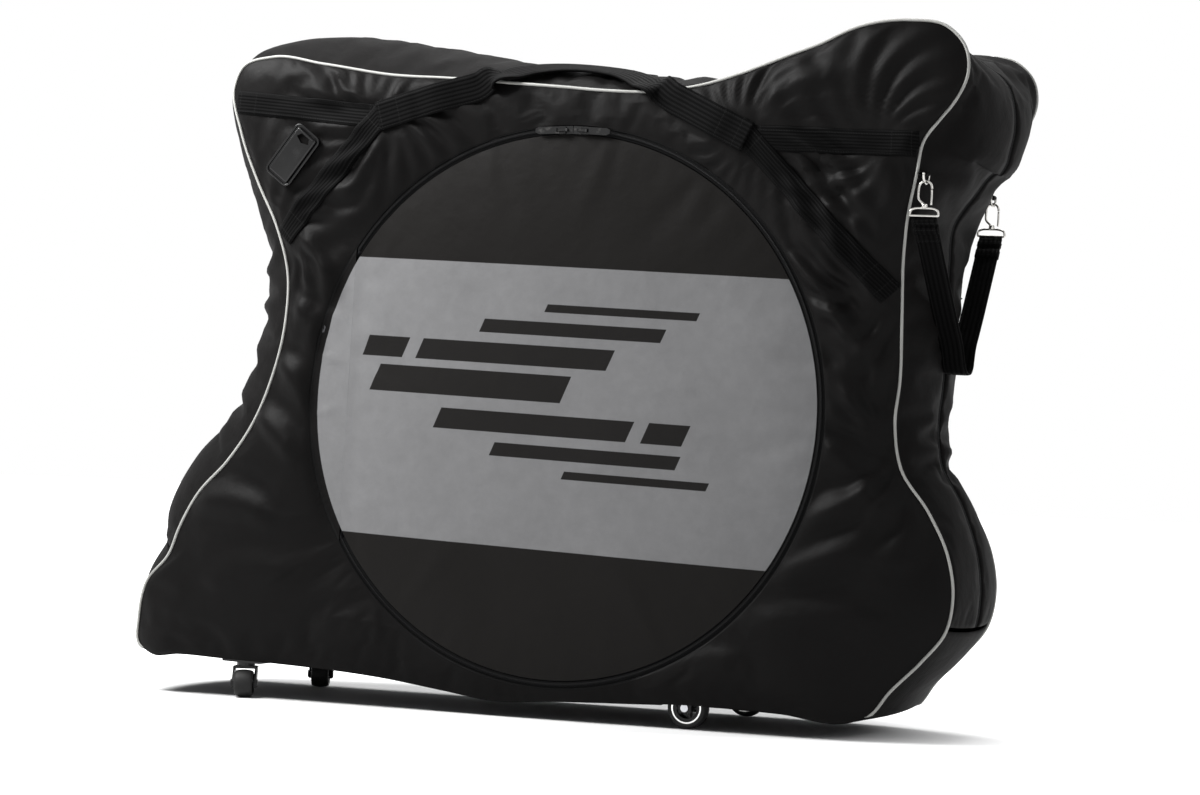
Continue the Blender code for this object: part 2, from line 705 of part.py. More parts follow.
def wheel_pocket(panel, name, side, body, finishes, meshes):
    """Liner, zip chain, round door on its seam, and two sliders that meet at the top."""
    middle = Vector((POCKET_X, 0, POCKET_Z))
    behind = POCKET_HALF_DEPTH - PANEL_THICK - CLEARANCE
    wall = POCKET_RADIUS - LINER_SET_IN
    back = POCKET_HALF_DEPTH - POCKET_DEEP
    profile = [(0, back), (wall - LINER_THICK, back), (wall - LINER_THICK, behind),
               (POCKET_RADIUS - CLEARANCE, behind), (POCKET_RADIUS - CLEARANCE, behind - LINER_THICK),
               (wall, behind - LINER_THICK), (wall, back - LINER_THICK), (0, back - LINER_THICK)]
    liner = turned([(radius, side * along) for radius, along in profile], middle, "y", 36)
    node(name + "_pocket_liner", liner, "lining", body, finishes)

    outer = POCKET_RADIUS - CLEARANCE
    inner = outer - POCKET_CHAIN
    reach = pi - asin(sqrt(1 - ((DOOR_SEAM_X + 2 * CLEARANCE) / outer) ** 2)) - 4 * CLEARANCE / outer
    steps = 42
    chain = []
    for k in range(steps + 1):
        angle = reach * (2 * k / steps - 1)
        section = ((outer, POCKET_HALF_DEPTH), (inner, POCKET_HALF_DEPTH),
                   (inner, POCKET_HALF_DEPTH - CHAIN_THICK), (outer, POCKET_HALF_DEPTH - CHAIN_THICK))
        chain.append([Vector((POCKET_X + r * cos(angle), side * depth, POCKET_Z + r * sin(angle)))
                      for r, depth in section])
    node(name + "_pocket_zip_chain", lattice(chain), "zip", body, finishes)

    rim = inner - 3 * CLEARANCE
    half_arc = pi - asin(sqrt(1 - (DOOR_SEAM_X / rim) ** 2))
    edge = [(rim * cos(a), rim * sin(a)) for a in (half_arc * (2 * k / steps - 1) for k in range(steps + 1))]
    core = Vector((rim / 20, 0))
    rows = []
    for x, z in edge:
        spot = Vector((x, z)) - core
        outs = [(core + spot * share, DOOR_DOME * (1 - share ** 2)) for share in DOOR_SHARES]
        rows.append([Vector((POCKET_X + p[0], side * (POCKET_HALF_DEPTH + dome), POCKET_Z + p[1]))
                     for p, dome in outs]
                    + [Vector((POCKET_X + p[0],
                              side * (POCKET_HALF_DEPTH + dome - DOOR_THICK), POCKET_Z + p[1]))
                       for p, dome in reversed(outs)])
    hinge = carrier(name + "_door_hinge", (POCKET_X - DOOR_SEAM_X, side * POCKET_HALF_DEPTH, POCKET_Z), body)
    node(name + "_pocket_door", lattice(rows, ring=True), "nylon_grey", hinge, finishes)

    track = (outer + inner) / 2
    apart = (SLIDER_LONG / 2 + CLEARANCE) / track
    for way, label in ((-1, "low"), (1, "tall")):
        at = (POCKET_X, side * (POCKET_HALF_DEPTH + SLIDER_LIFT), POCKET_Z + track)
        zip_slider(name + "_pocket_" + label, at, (-way, 0, 0), (0, side, 0), body, finishes, meshes,
                   turn=(0, way * apart, 0), axis_at=(POCKET_X, 0, POCKET_Z))


def panel_strap(panel, side, start, end):
    """Flat webbing that follows the panel's face between two places on it."""
    steps = ceil((end - start).length / (OUTLINE_FACET / 2))
    across = (end - start).normalized().orthogonal() * YOKE_WIDE / 2
    rows = []
    for k in range(steps + 1):
        edge = [start.lerp(end, k / steps) + across * share for share in STRAP_SHARES]
        rows.append([panel.face_point(side, *spot, YOKE_LIFT) for spot in edge]
                    + [panel.face_point(side, *spot, YOKE_LIFT + YOKE_THICK) for spot in reversed(edge)])
    return lattice(rows)


def yokes_and_handle(outline, panel, name, side, body, finishes):
    """Stitched webbing on the panel, and the carry handle that lies over the piping."""
    for knot_shares, key in ((LOW_KNOT_SHARES, "low"), (TALL_KNOT_SHARES, "tall")):
        straps = []
        knot = Vector(on_bag(knot_shares))
        for number, end_shares in enumerate(YOKE_END_SHARES[key]):
            end = Vector(on_bag(end_shares))
            way = (end - knot).normalized()
            start = knot - way * YOKE_WIDE / 2 if number == 0 else knot + way * YOKE_WIDE * 0.45
            straps.append(panel_strap(panel, side, start, end))
        node(f"{name}_{key}_yoke", combine(straps[0], ("UNION", straps[1])), "webbing", body, finishes)

    knots = [Vector(on_bag(LOW_KNOT_SHARES)), Vector(on_bag(TALL_KNOT_SHARES))]
    lift = YOKE_LIFT + YOKE_THICK + WEB_LIFT
    crossings = [outline.top_place(share * BAG_LENGTH) for share in HANDLE_CROSS_SHARES]

    def leg(knot, place, order):
        """The strap on the panel and over the piping, from a knot to a crossing."""
        point, out = outline.at(place)
        edge = point.xy - out * (4 * PIPING_RADIUS)
        found = [(panel.face_point(side, *knot.lerp(edge, t), lift),
                  panel.face_normal(side, *knot.lerp(edge, t)))
                 for t in (0.0, 0.35, 0.7, 1.0)]
        welt = Vector((point[0], side * point[2], point[1]))
        outwards, upwards = Vector((0, side, 0)), Vector((out[0], 0, out[1]))
        reach = PIPING_RADIUS + 2 * WEB_LIFT
        found += [(welt + outwards * reach, outwards),
                  (welt + (outwards + upwards).normalized() * reach * 1.15,
                   (outwards + upwards).normalized()),
                  (welt + upwards * (reach + HANDLE_LOOSE / 2), upwards)]
        return found if order > 0 else list(reversed(found))

    trail = leg(knots[0], crossings[0], 1)
    for share, nearness in HANDLE_LIE_SHARES:
        place = crossings[0] + (crossings[1] - crossings[0]) * share
        up = outline.skin_normal(place, side * nearness)
        trail.append((outline.skin(place, side * nearness) + up * HANDLE_LOOSE, up))
    trail += leg(knots[1], crossings[1], -1)
    rows = ribbon_rows([p for p, _ in trail], [n for _, n in trail], HANDLE_WIDE, HANDLE_THICK)
    low, tall = (min(rows[end][2:], key=lambda corner: corner[2]) for end in (0, -1))
    pivot = carrier(name + "_handle_pivot", low, body)
    carrier(name + "_handle_pivot_far", tall, body)
    node(name + "_carry_handle", lattice(rows), "webbing", pivot, finishes)


def tag_holder(panel, side, body, finishes):
    """The moulded identity tag holder, a rimmed plate."""
    x, z = on_bag(TAG_SHARES)
    face = panel.face_normal(side, x, z)
    at = panel.face_point(side, x, z, WEB_LIFT)
    up = Vector((cos(TAG_LEAN), 0, sin(TAG_LEAN)))
    across = up.cross(face).normalized()
    up = face.cross(across).normalized()
    frame = Matrix.Translation(at) @ Matrix((across, up, face)).transposed().to_4x4()
    corner = TAG_WIDE / 5
    half, long = TAG_WIDE / 2, TAG_LONG / 2
    outline = [(half - corner, -long), (half, -long + corner), (half, long - corner), (half - corner, long),
               (corner - half, long), (-half, long - corner), (-half, corner - long), (corner - half, -long)]
    pocket = [(x - TAG_RIM if x > 0 else x + TAG_RIM,
               y - TAG_RIM if y > 0 else y + TAG_RIM) for x, y in outline]
    plate = combine(slab(outline, 0, TAG_THICK, "z"),
                    ("DIFFERENCE", slab(pocket, TAG_THICK - TAG_RECESS, 2 * TAG_THICK, "z")))
    plate.transform(frame)
    node("tag_holder", plate, "plastic", body, finishes)


def ring_and_hook(outline, name, side, side_body, strap_body, finishes):
    """Sewn tab with its ring, snap hook with eye and sprung gate. Gives back the strap's end."""
    edge_x = outline.at(outline.tall_place(RING_Z))[0][0]
    bar = Vector((edge_x + RING_OUT, side * RING_Y, RING_Z))
    inner = RING_HALF - WIRE_RADIUS
    ring = [bar + Vector((0, y, 0)) for y in (-inner, 0, inner)]
    ring += [bar + Vector((0, RING_HALF * cos(a), -RING_HALF * sin(a)))
             for a in (pi * k / 10 for k in range(0, 11))]
    tab_half = inner - 2 * WIRE_RADIUS
    sleeve = rod(bar - Vector((0, tab_half, 0)), bar + Vector((0, tab_half, 0)), TAB_THICK, 12)
    near, far = sorted((side * (RING_Y - tab_half / 4), side * (RING_Y + tab_half)))
    tongue = box((edge_x + PIPING_RADIUS + 2 * CLEARANCE, near, RING_Z - TAB_THICK / 2),
                 (bar[0], far, RING_Z + TAB_THICK / 2))
    tab = combine(tube(ring, WIRE_RADIUS, 6, ring=True), ("UNION", sleeve), ("UNION", tongue))
    node(name + "_end_ring", tab, "nickel", side_body, finishes)

    wire = bar - Vector((0, 0, RING_HALF))
    top = wire - Vector((0, 0, HOOK_RADIUS - 2 * WIRE_RADIUS - 2 * CLEARANCE))
    foot = top - Vector((0, 0, HOOK_LEG))
    barrel_top = foot - Vector((0, 0, HOOK_RADIUS / 2))
    bow = [barrel_top + Vector((0, 0, -BARREL_LONG / 3)), barrel_top + Vector((-BARREL_RADIUS / 2, 0, 0)),
           foot + Vector((-HOOK_RADIUS, 0, 0))]
    bow += [top + Vector((-HOOK_RADIUS * cos(a), 0, HOOK_RADIUS * sin(a)))
            for a in (pi * k / 8 for k in range(0, 9))]
    barrel = rod(barrel_top, barrel_top - Vector((0, 0, BARREL_LONG)), BARREL_RADIUS, 12)
    eye_top = barrel_top[2] - BARREL_LONG
    eye_mid = Vector((bar[0], bar[1], eye_top - EYE_HIGH / 2))
    half, high = EYE_WIDE / 2, EYE_HIGH / 2
    corner = high / 2
    eye = [eye_mid + Vector((x, 0, z)) for x, z in (
        (half - corner, high), (half, high - corner), (half, corner - high), (half - corner, -high),
        (corner - half, -high), (-half, corner - high), (-half, high - corner), (corner - half, high))]
    hook = combine(barrel, ("UNION", tube(bow, WIRE_RADIUS, 8)),
                   ("UNION", tube(eye, WIRE_RADIUS, 6, ring=True)))
    node(name + "_snap_hook", hook, "nickel", strap_body, finishes)

    gate_foot = barrel_top + Vector((HOOK_RADIUS, 0, 0))
    pivot = carrier(name + "_gate_pivot", gate_foot, strap_body)
    gate_top = top + Vector((HOOK_RADIUS, 0, -CLEARANCE))
    gate = tube([gate_foot - Vector((0, 0, WIRE_RADIUS)), gate_top], WIRE_RADIUS, 8)
    node(name + "_hook_gate", gate, "nickel", pivot, finishes)
    return eye_mid - Vector((0, 0, high + WIRE_RADIUS + 2 * CLEARANCE))


def strap_axis(outline):
    """The line through both rings' low wires, on which the pull strap swings."""
    edge_x = outline.at(outline.tall_place(RING_Z))[0][0]
    return Vector((edge_x + RING_OUT, 0, RING_Z - RING_HALF))


def pull_strap(outline, sides, finishes):
    """The hanging strap at the tall end, with a ring, hook and gate at each of its ends."""
    swing = carrier("strap_swing_axis", strap_axis(outline), sides["front"])
    ends = [ring_and_hook(outline, name, SIDES[name], sides[name], swing, finishes) for name in SIDES]
    low = ends[0][2] - STRAP_DROP
    reach = abs(ends[0][1])
    legs = [(1.0, 0.0), (0.8, 0.24), (0.55, 0.53), (0.3, 0.81)]
    half = [(-reach * y, ends[0][2] - STRAP_DROP * (1 - STRAP_TURN / STRAP_DROP) * d) for y, d in legs]
    half += [(-STRAP_TURN * cos(a), low + STRAP_TURN - STRAP_TURN * sin(a)) for a in (0.0, pi / 6, pi / 3)]
    line = half + [(0, low)] + [(-y, z) for y, z in reversed(half)]
    rows = []
    for i, (y, z) in enumerate(line):
        before, after = line[max(i - 1, 0)], line[min(i + 1, len(line) - 1)]
        way = Vector((after[0] - before[0], after[1] - before[1])).normalized()
        out = Vector((way[1], -way[0])) * STRAP_THICK / 2
        x = ends[0][0] + STRAP_LEAN * (ends[0][2] - z) / STRAP_DROP
        rows.append([Vector((x - STRAP_WIDE / 2, y + out[0], z + out[1])),
                     Vector((x + STRAP_WIDE / 2, y + out[0], z + out[1])),
                     Vector((x + STRAP_WIDE / 2, y - out[0], z - out[1])),
                     Vector((x - STRAP_WIDE / 2, y - out[0], z - out[1]))])
    node("pull_strap", lattice(rows), "webbing", swing, finishes)


def base_boot(outline, base, finishes):
    """The lower tub between the end seams, open over each fixed wheel."""
    low, tall = seam_indices(outline)
    places = [float(i) for i in range(tall, low + 1)]
    places[0] += seam_step(outline, tall)
    places[-1] -= seam_step(outline, low - 1)
    rows = []
    for place in places:
        rows.append([outline.skin(place, a) for a in BOOT_SHARES]
                    + [outline.skin(place, a, BOOT_THICK) for a in reversed(BOOT_SHARES)])
    inner = WHEEL_Y - FIXED_WHEEL_WIDE / 2 - BRACKET_WALL - WELL_SIDE
    cuts = []
    for side in SIDES.values():
        near, far = sorted((side * inner, side * BAG_DEPTH / 2))
        cuts.append(("DIFFERENCE", box((FIXED_X - WELL_HALF_LONG, near, -FIXED_WHEEL_RADIUS),
                                       (FIXED_X + WELL_HALF_LONG, far, FIXED_WHEEL_RADIUS))))
    node("base_boot", combine(lattice(rows), *cuts), "nylon", base, finishes)


def base_frame(base, finishes):
    """Board, rails, fork mount with its skewer and lever, and cradle, with their rivets."""
    floor = BOOT_THICK + BOARD_LIFT
    top = floor + BOARD_THICK
    wide_to = BOARD_LEFT + BOARD_END_LONG
    outline = [(BOARD_LEFT, -BOARD_END_HALF), (wide_to, -BOARD_END_HALF),
               (wide_to + BOARD_END_HALF - BOARD_HALF, -BOARD_HALF),
               (BOARD_RIGHT, -BOARD_HALF)]
    outline += [(x, -y) for x, y in reversed(outline)]
    node("base_board", slab(outline, floor, top, "z"), "board", base, finishes)

    rail_low = top + CLEARANCE
    rail_top = rail_low + RAIL_HIGH
    for name, side in SIDES.items():
        rail = box((RAIL_LEFT, side * RAIL_Y - RAIL_WIDE / 2, rail_low),
                   (RAIL_RIGHT, side * RAIL_Y + RAIL_WIDE / 2, rail_top))
        rivets = [("UNION", rivet(RAIL_LEFT + (RAIL_RIGHT - RAIL_LEFT) * share, side * RAIL_Y, rail_top))
                  for share in RAIL_RIVET_SHARES]
        node(name + "_base_rail", combine(rail, *rivets), "alloy", base, finishes)

    deck = rail_top + CLEARANCE
    half_long, half_wide = FORK_MOUNT_LONG / 2, FORK_MOUNT_WIDE / 2
    mount_top = deck + FORK_MOUNT_HIGH
    shape = [(FORK_MOUNT_X - half_long, deck), (FORK_MOUNT_X + half_long, deck),
             (FORK_MOUNT_X + half_long / 2, mount_top), (FORK_MOUNT_X - half_long / 2, mount_top)]
    axle = Vector((FORK_MOUNT_X, 0, mount_top - SKEWER_DOWN))
    across = Vector((0, half_wide, 0))
    hole = rod(axle - 2 * across, axle + 2 * across, SKEWER_RADIUS + BORE_GAP, 12)
    node("fork_mount", combine(slab(shape, -half_wide, half_wide, "y"),
                               ("DIFFERENCE", hole)), "alloy", base, finishes)

    face = half_wide + FORK_END_ROOM
    rod_end = face + NUT_LONG + SKEWER_SHOW
    start, near, far, end = (axle + Vector((0, y, 0)) for y in (-face - NUT_LONG, -face, face, rod_end))
    far_end = far + Vector((0, NUT_LONG, 0))
    skewer = combine(rod(start, end, SKEWER_RADIUS, 12), ("UNION", rod(start, near, SKEWER_NUT, 6)),
                     ("UNION", rod(far, far_end, SKEWER_NUT, 12)))
    node("fork_skewer", skewer, "steel", base, finishes)

    pin = axle + Vector((0, rod_end + CLEARANCE + LEVER_WIDE / 2, 0))
    lever = carrier("lever_pivot", pin, base)
    cam = rod(pin - Vector((0, 0, LEVER_WIDE / 2)), pin + Vector((0, 0, LEVER_WIDE / 2)), LEVER_WIDE / 2, 12)
    blade = slab(((pin[0] - LEVER_LONG, pin[1] - LEVER_THICK), (pin[0] - LEVER_LONG, pin[1]),
                  (pin[0], pin[1] + LEVER_THICK), (pin[0], pin[1])), pin[2] - LEVER_WIDE / 2 + CLEARANCE,
                 pin[2] + LEVER_WIDE / 2 - CLEARANCE, "z")
    node("skewer_lever", combine(cam, ("UNION", blade)), "alloy", lever, finishes)

    low_x, high_x = CRADLE_X - CRADLE_LONG / 2, CRADLE_X + CRADLE_LONG / 2
    cradle_top = deck + CRADLE_HIGH
    saddle = [(low_x, deck), (high_x, deck), (high_x, cradle_top), (CRADLE_X + CRADLE_NOTCH, cradle_top),
              (CRADLE_X, cradle_top - CRADLE_NOTCH), (CRADLE_X - CRADLE_NOTCH, cradle_top),
              (low_x, cradle_top)]
    node("frame_cradle", slab(saddle, -CRADLE_WIDE / 2, CRADLE_WIDE / 2, "y"), "plastic", base, finishes)


def rivet(x, y, z):
    """A rivet's head standing on a face, sunk in it so that the two join."""
    return rod((x, y, z - CLEARANCE), (x, y, z + RIVET_HIGH), RIVET_RADIUS, 10)


def bracket_inner():
    """Inner face of a fixed wheel's bracket, from the bag's middle."""
    return WHEEL_Y - FIXED_WHEEL_WIDE / 2 - 4 * CLEARANCE - BRACKET_WALL


def wheel_profile(radius, wide, bore, hub):
    """Tyre, dished web and hub of a small wheel, as radius and place along its axle."""
    half = wide / 2
    crown = wide / 6
    return [(bore, -half), (hub, -half), (hub, -half / 3),
            (radius * 0.70, -half / 3), (radius * 0.74, -half * 0.85),
            (radius - crown, -half * 0.85), (radius, -half / 3), (radius, half / 3),
            (radius - crown, half * 0.85),
            (radius * 0.74, half * 0.85), (radius * 0.70, half / 3), (hub, half / 3),
            (hub, half), (bore, half)]


def fixed_wheels(base, finishes):
    """Wheels that only roll, in brackets that reach out over the board's edge."""
    bore = AXLE_RADIUS + BORE_GAP
    top = BOOT_THICK + BOARD_LIFT + BOARD_THICK + CLEARANCE
    bridge = -FIXED_AXLE_DROP + FIXED_WHEEL_RADIUS + 2 * BRACKET_WALL
    inner, outer = bracket_inner(), WHEEL_Y + FIXED_WHEEL_WIDE / 2 + 4 * CLEARANCE
    foot = -FIXED_AXLE_DROP - 2 * AXLE_RADIUS
    for name, side in SIDES.items():
        section = [(inner - BRACKET_FLANGE, top), (inner, top), (inner, foot), (inner + BRACKET_WALL, foot),
                   (inner + BRACKET_WALL, bridge), (outer, bridge),
                    (outer, foot), (outer + BRACKET_WALL, foot),
                   (outer + BRACKET_WALL, bridge + BRACKET_WALL), (inner, bridge + BRACKET_WALL),
                   (inner, top + BRACKET_WALL), (inner - BRACKET_FLANGE, top + BRACKET_WALL)]
        section = [(side * y, z) for y, z in section]
        axle = Vector((FIXED_X, side * WHEEL_Y, -FIXED_AXLE_DROP))
        across = Vector((0, side * FIXED_WHEEL_WIDE, 0))
        rivets = [("UNION", rivet(FIXED_X, side * (inner - BRACKET_FLANGE * share), top + BRACKET_WALL))
                  for share in (0.35, 0.75)]
        yoke = combine(slab(section, FIXED_X - BRACKET_LONG / 2, FIXED_X + BRACKET_LONG / 2, "x"),
                       ("DIFFERENCE", rod(axle - across, axle + across, bore, 12)), *rivets)
        node(name + "_wheel_bracket", yoke, "plastic", base, finishes)
        pin_in, pin_out = inner - CLEARANCE, outer + BRACKET_WALL + CLEARANCE
        ends = [Vector((FIXED_X, side * y, -FIXED_AXLE_DROP)) for y in
                (pin_in - AXLE_HEAD_LONG, pin_in, pin_out, pin_out + AXLE_HEAD_LONG)]
        pin = combine(rod(ends[0], ends[3], AXLE_RADIUS, 12),
                      ("UNION", rod(ends[0], ends[1], AXLE_HEAD_RADIUS, 12)),
                      ("UNION", rod(ends[2], ends[3], AXLE_HEAD_RADIUS, 12)))
        node(name + "_wheel_axle", pin, "steel", base, finishes)
        spin = carrier(name + "_fixed_wheel_axis", axle, base)
        wheel = turned(wheel_profile(FIXED_WHEEL_RADIUS, FIXED_WHEEL_WIDE, bore, 2 * AXLE_RADIUS + BORE_GAP),
                       axle, "y", 18)
        node(name + "_fixed_wheel", wheel, "tyre", spin, finishes)


def casters(ground, bag, finishes):
    """Swivel casters: the housing leans with the bag, the fork turns on a plumb axis."""
    lean = bag.rotation_euler[1]
    bore = AXLE_RADIUS + BORE_GAP
    for name, side in SIDES.items():
        plate_top = Vector((CASTER_X, side * WHEEL_Y, -CLEARANCE))
        plate = box(plate_top - Vector((CASTER_PLATE_LONG / 2, CASTER_PLATE_WIDE / 2, CASTER_PLATE_THICK)),
                    plate_top + Vector((CASTER_PLATE_LONG / 2, CASTER_PLATE_WIDE / 2, 0)))
        to_ground = bag_matrix(lean)
        under = to_ground @ (plate_top - Vector((0, 0, CASTER_PLATE_THICK)))
        crown_low = 2 * CASTER_WHEEL_RADIUS + FORK_GAP
        crown_top = crown_low + FORK_CROWN
        race = rod((under[0], under[1], crown_top + CLEARANCE),
                   (under[0], under[1], under[2] + CASTER_PLATE_THICK / 3),
                   RACE_RADIUS, 16)
        bmesh.ops.transform(race, matrix=to_ground.inverted(), verts=race.verts)
        node(name + "_caster_housing", combine(plate, ("UNION", race)), "plastic", bag, finishes)

        swivel = carrier(name + "_caster_swivel", (under[0], under[1], 0), ground, (0, 0, CASTER_TURN))
        hub = Vector((under[0] - CASTER_TRAIL, under[1], CASTER_WHEEL_RADIUS))
        gap = CASTER_WHEEL_WIDE / 2 + 3 * CLEARANCE
        arm = RACE_RADIUS - FORK_LEG
        leg = [(hub[0] - 2 * AXLE_RADIUS, hub[2] + AXLE_RADIUS),
               (hub[0] - AXLE_RADIUS, hub[2] - 2 * AXLE_RADIUS),
               (hub[0] + AXLE_RADIUS, hub[2] - 2 * AXLE_RADIUS), (hub[0] + 3 * AXLE_RADIUS, hub[2]),
               (under[0] + arm, crown_top - CLEARANCE), (under[0] - arm, crown_top - CLEARANCE)]
        legs = []
        for way in (-1, 1):
            near, far = sorted((under[1] + way * gap, under[1] + way * (gap + FORK_LEG)))
            legs.append(slab(leg, near, far, "y"))
        crown = box((under[0] - RACE_RADIUS, under[1] - gap - FORK_LEG / 2, crown_low),
                    (under[0] + RACE_RADIUS, under[1] + gap + FORK_LEG / 2, crown_top))
        face = Vector((0, gap + FORK_LEG, 0))
        head = Vector((0, AXLE_HEAD_LONG, 0))
        fork = combine(crown, ("UNION", legs[0]), ("UNION", legs[1]),
                       ("UNION", rod(hub - face, hub + face, AXLE_RADIUS, 12)),
                       ("UNION", rod(hub - face - head, hub - face + head, AXLE_HEAD_RADIUS, 12)),
                       ("UNION", rod(hub + face - head, hub + face + head, AXLE_HEAD_RADIUS, 12)))
        node(name + "_caster_fork", fork, "plastic", swivel, finishes)

        spin = carrier(name + "_caster_wheel_axis", hub, swivel)
        wheel = turned(wheel_profile(CASTER_WHEEL_RADIUS, CASTER_WHEEL_WIDE, bore, 2 * AXLE_RADIUS),
                       hub, "y", 16)
        node(name + "_caster_wheel", wheel, "tyre", spin, finishes)


def bag_matrix(lean):
    """The bag's frame in the ground's: it leans about y and stands on the fixed wheels."""
    lift = FIXED_WHEEL_RADIUS + FIXED_AXLE_DROP * cos(lean) + FIXED_X * sin(lean)
    return Matrix.Translation((0, 0, lift)) @ Matrix.Rotation(lean, 4, "Y")


def main_zip(outline, rear, finishes, meshes):
    """Two sliders that meet on the top and run apart along it."""
    for way, label in ((-1, "low"), (1, "tall")):
        x = MAIN_ZIP_MEET + way * (SLIDER_LONG / 2 + CLEARANCE)
        place = outline.top_place(x)
        ahead = outline.skin(outline.top_place(x + way * SLIDER_LONG), 0.0)
        along = (outline.skin(place, 0.0) - ahead).normalized()
        up = Vector((abs(along[2]) * (1 if along[0] * along[2] < 0 else -1), 0, abs(along[0])))
        at = outline.skin(place, 0.0) + up * SLIDER_LIFT
        zip_slider("main_" + label, at, along, up, rear, finishes, meshes)


def stand_at_origin(ground):
    """Moves the whole bag so that the middle of its length is at x = 0."""
    bpy.context.view_layer.update()
    spots = [(body.matrix_world @ vertex.co)[0] for body in bpy.data.objects if body.type == "MESH"
             for vertex in body.data.vertices]
    ground.location[0] -= (min(spots) + max(spots)) / 2


def build():
    """Builds the whole bag."""
    for old in list(bpy.data.objects):
        bpy.data.objects.remove(old)
    finishes = all_finishes()
    outline = Outline()
    panel = Panel(outline)
    lean = asin((CASTER_HEIGHT - FIXED_WHEEL_RADIUS - FIXED_AXLE_DROP) / (FIXED_X - CASTER_X))
    ground = carrier("ground", (0, 0, 0))
    bag = carrier("bag_frame", (0, 0, 0), ground)
    bag.matrix_local = bag_matrix(lean)
    lowest = min(point[1] for point in outline.points) - PIPING_RADIUS
    middle = outline.at(outline.index_near(0, 0))[0]
    sides = {name: carrier(name + "_fold_axis", (0, side * middle[2], lowest), bag)
             for name, side in SIDES.items()}
    meshes = (slider_mesh(), pull_mesh())
    for name, side in SIDES.items():
        side_shell(outline, panel, name, side, sides[name], finishes)
        wheel_pocket(panel, name, side, sides[name], finishes, meshes)
        yokes_and_handle(outline, panel, name, side, sides[name], finishes)
    tag_holder(panel, SIDES["front"], sides["front"], finishes)
    pull_strap(outline, sides, finishes)
    main_zip(outline, sides["rear"], finishes, meshes)
    base_boot(outline, bag, finishes)
    base_frame(bag, finishes)
    fixed_wheels(bag, finishes)
    casters(ground, bag, finishes)
    stand_at_origin(ground)


build()
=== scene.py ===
"""Soft bike travel bag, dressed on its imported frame: padded fabric, webbing, zips and wheels."""
import logging
from dataclasses import dataclass, field
from enum import Enum
from math import asin, cos, pi, radians, sin, sqrt
from typing import Callable, Iterable, Iterator, Sequence

import bmesh
import bpy
import numpy as np
from mathutils import Matrix, Vector
from mathutils.bvhtree import BVHTree


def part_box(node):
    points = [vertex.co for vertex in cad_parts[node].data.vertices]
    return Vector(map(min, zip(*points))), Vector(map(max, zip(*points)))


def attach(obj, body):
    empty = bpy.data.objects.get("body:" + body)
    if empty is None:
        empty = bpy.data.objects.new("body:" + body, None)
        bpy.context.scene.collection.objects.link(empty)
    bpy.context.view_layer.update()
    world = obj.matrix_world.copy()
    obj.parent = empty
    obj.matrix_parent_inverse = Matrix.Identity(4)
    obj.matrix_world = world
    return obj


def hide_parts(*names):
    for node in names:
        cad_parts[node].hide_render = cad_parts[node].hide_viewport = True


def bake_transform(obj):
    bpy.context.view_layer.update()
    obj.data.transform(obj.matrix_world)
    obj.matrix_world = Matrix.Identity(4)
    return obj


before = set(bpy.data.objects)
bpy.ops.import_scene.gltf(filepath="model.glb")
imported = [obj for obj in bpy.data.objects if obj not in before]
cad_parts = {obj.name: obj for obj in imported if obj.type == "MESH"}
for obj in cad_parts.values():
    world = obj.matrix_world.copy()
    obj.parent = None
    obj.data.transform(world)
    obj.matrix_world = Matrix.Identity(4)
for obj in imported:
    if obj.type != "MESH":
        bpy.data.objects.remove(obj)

LOG = logging.getLogger("bag")
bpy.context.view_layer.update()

# Sizes shared with the part, in metres
LENGTH, HEIGHT, HALF_DEPTH, RISE = 1.100, 0.840, 0.160, 0.080
BOOT_HEIGHT = 0.118
PANEL_THICK = 0.0030
GAP = 0.0003
SEAM_GAP = 0.0001
PIPING_RADIUS = 0.0023
POCKET = Vector((-0.010, 0.355))
POCKET_RADIUS = 0.350
POCKET_HALF_DEPTH = 0.135
POCKET_DEEP = 0.057
DOOR_SEAM = 0.8429 * POCKET_RADIUS
ZIP_WIDE = 0.0085
FIXED_X, CASTER_X, WHEEL_Y = 0.17699, -0.44704, 0.105
LOW_KNOT = Vector((-0.254 * LENGTH, 0.848 * HEIGHT))
TALL_KNOT = Vector((0.207 * LENGTH, 0.826 * HEIGHT))
YOKE_ENDS = {
    "low": (Vector((-0.446 * LENGTH, 0.868 * HEIGHT)), Vector((-0.374 * LENGTH, 0.662 * HEIGHT))),
    "tall": (Vector((0.372 * LENGTH, 0.821 * HEIGHT)), Vector((0.366 * LENGTH, 0.622 * HEIGHT))),
}
YOKE_WIDE = 0.030
HANDLE_WIDE = 0.038
RING = Vector((0.0, 0.150, 0.65503))
TAG = (-0.362 * LENGTH, 0.786 * HEIGHT)
TAG_REACH = 0.045

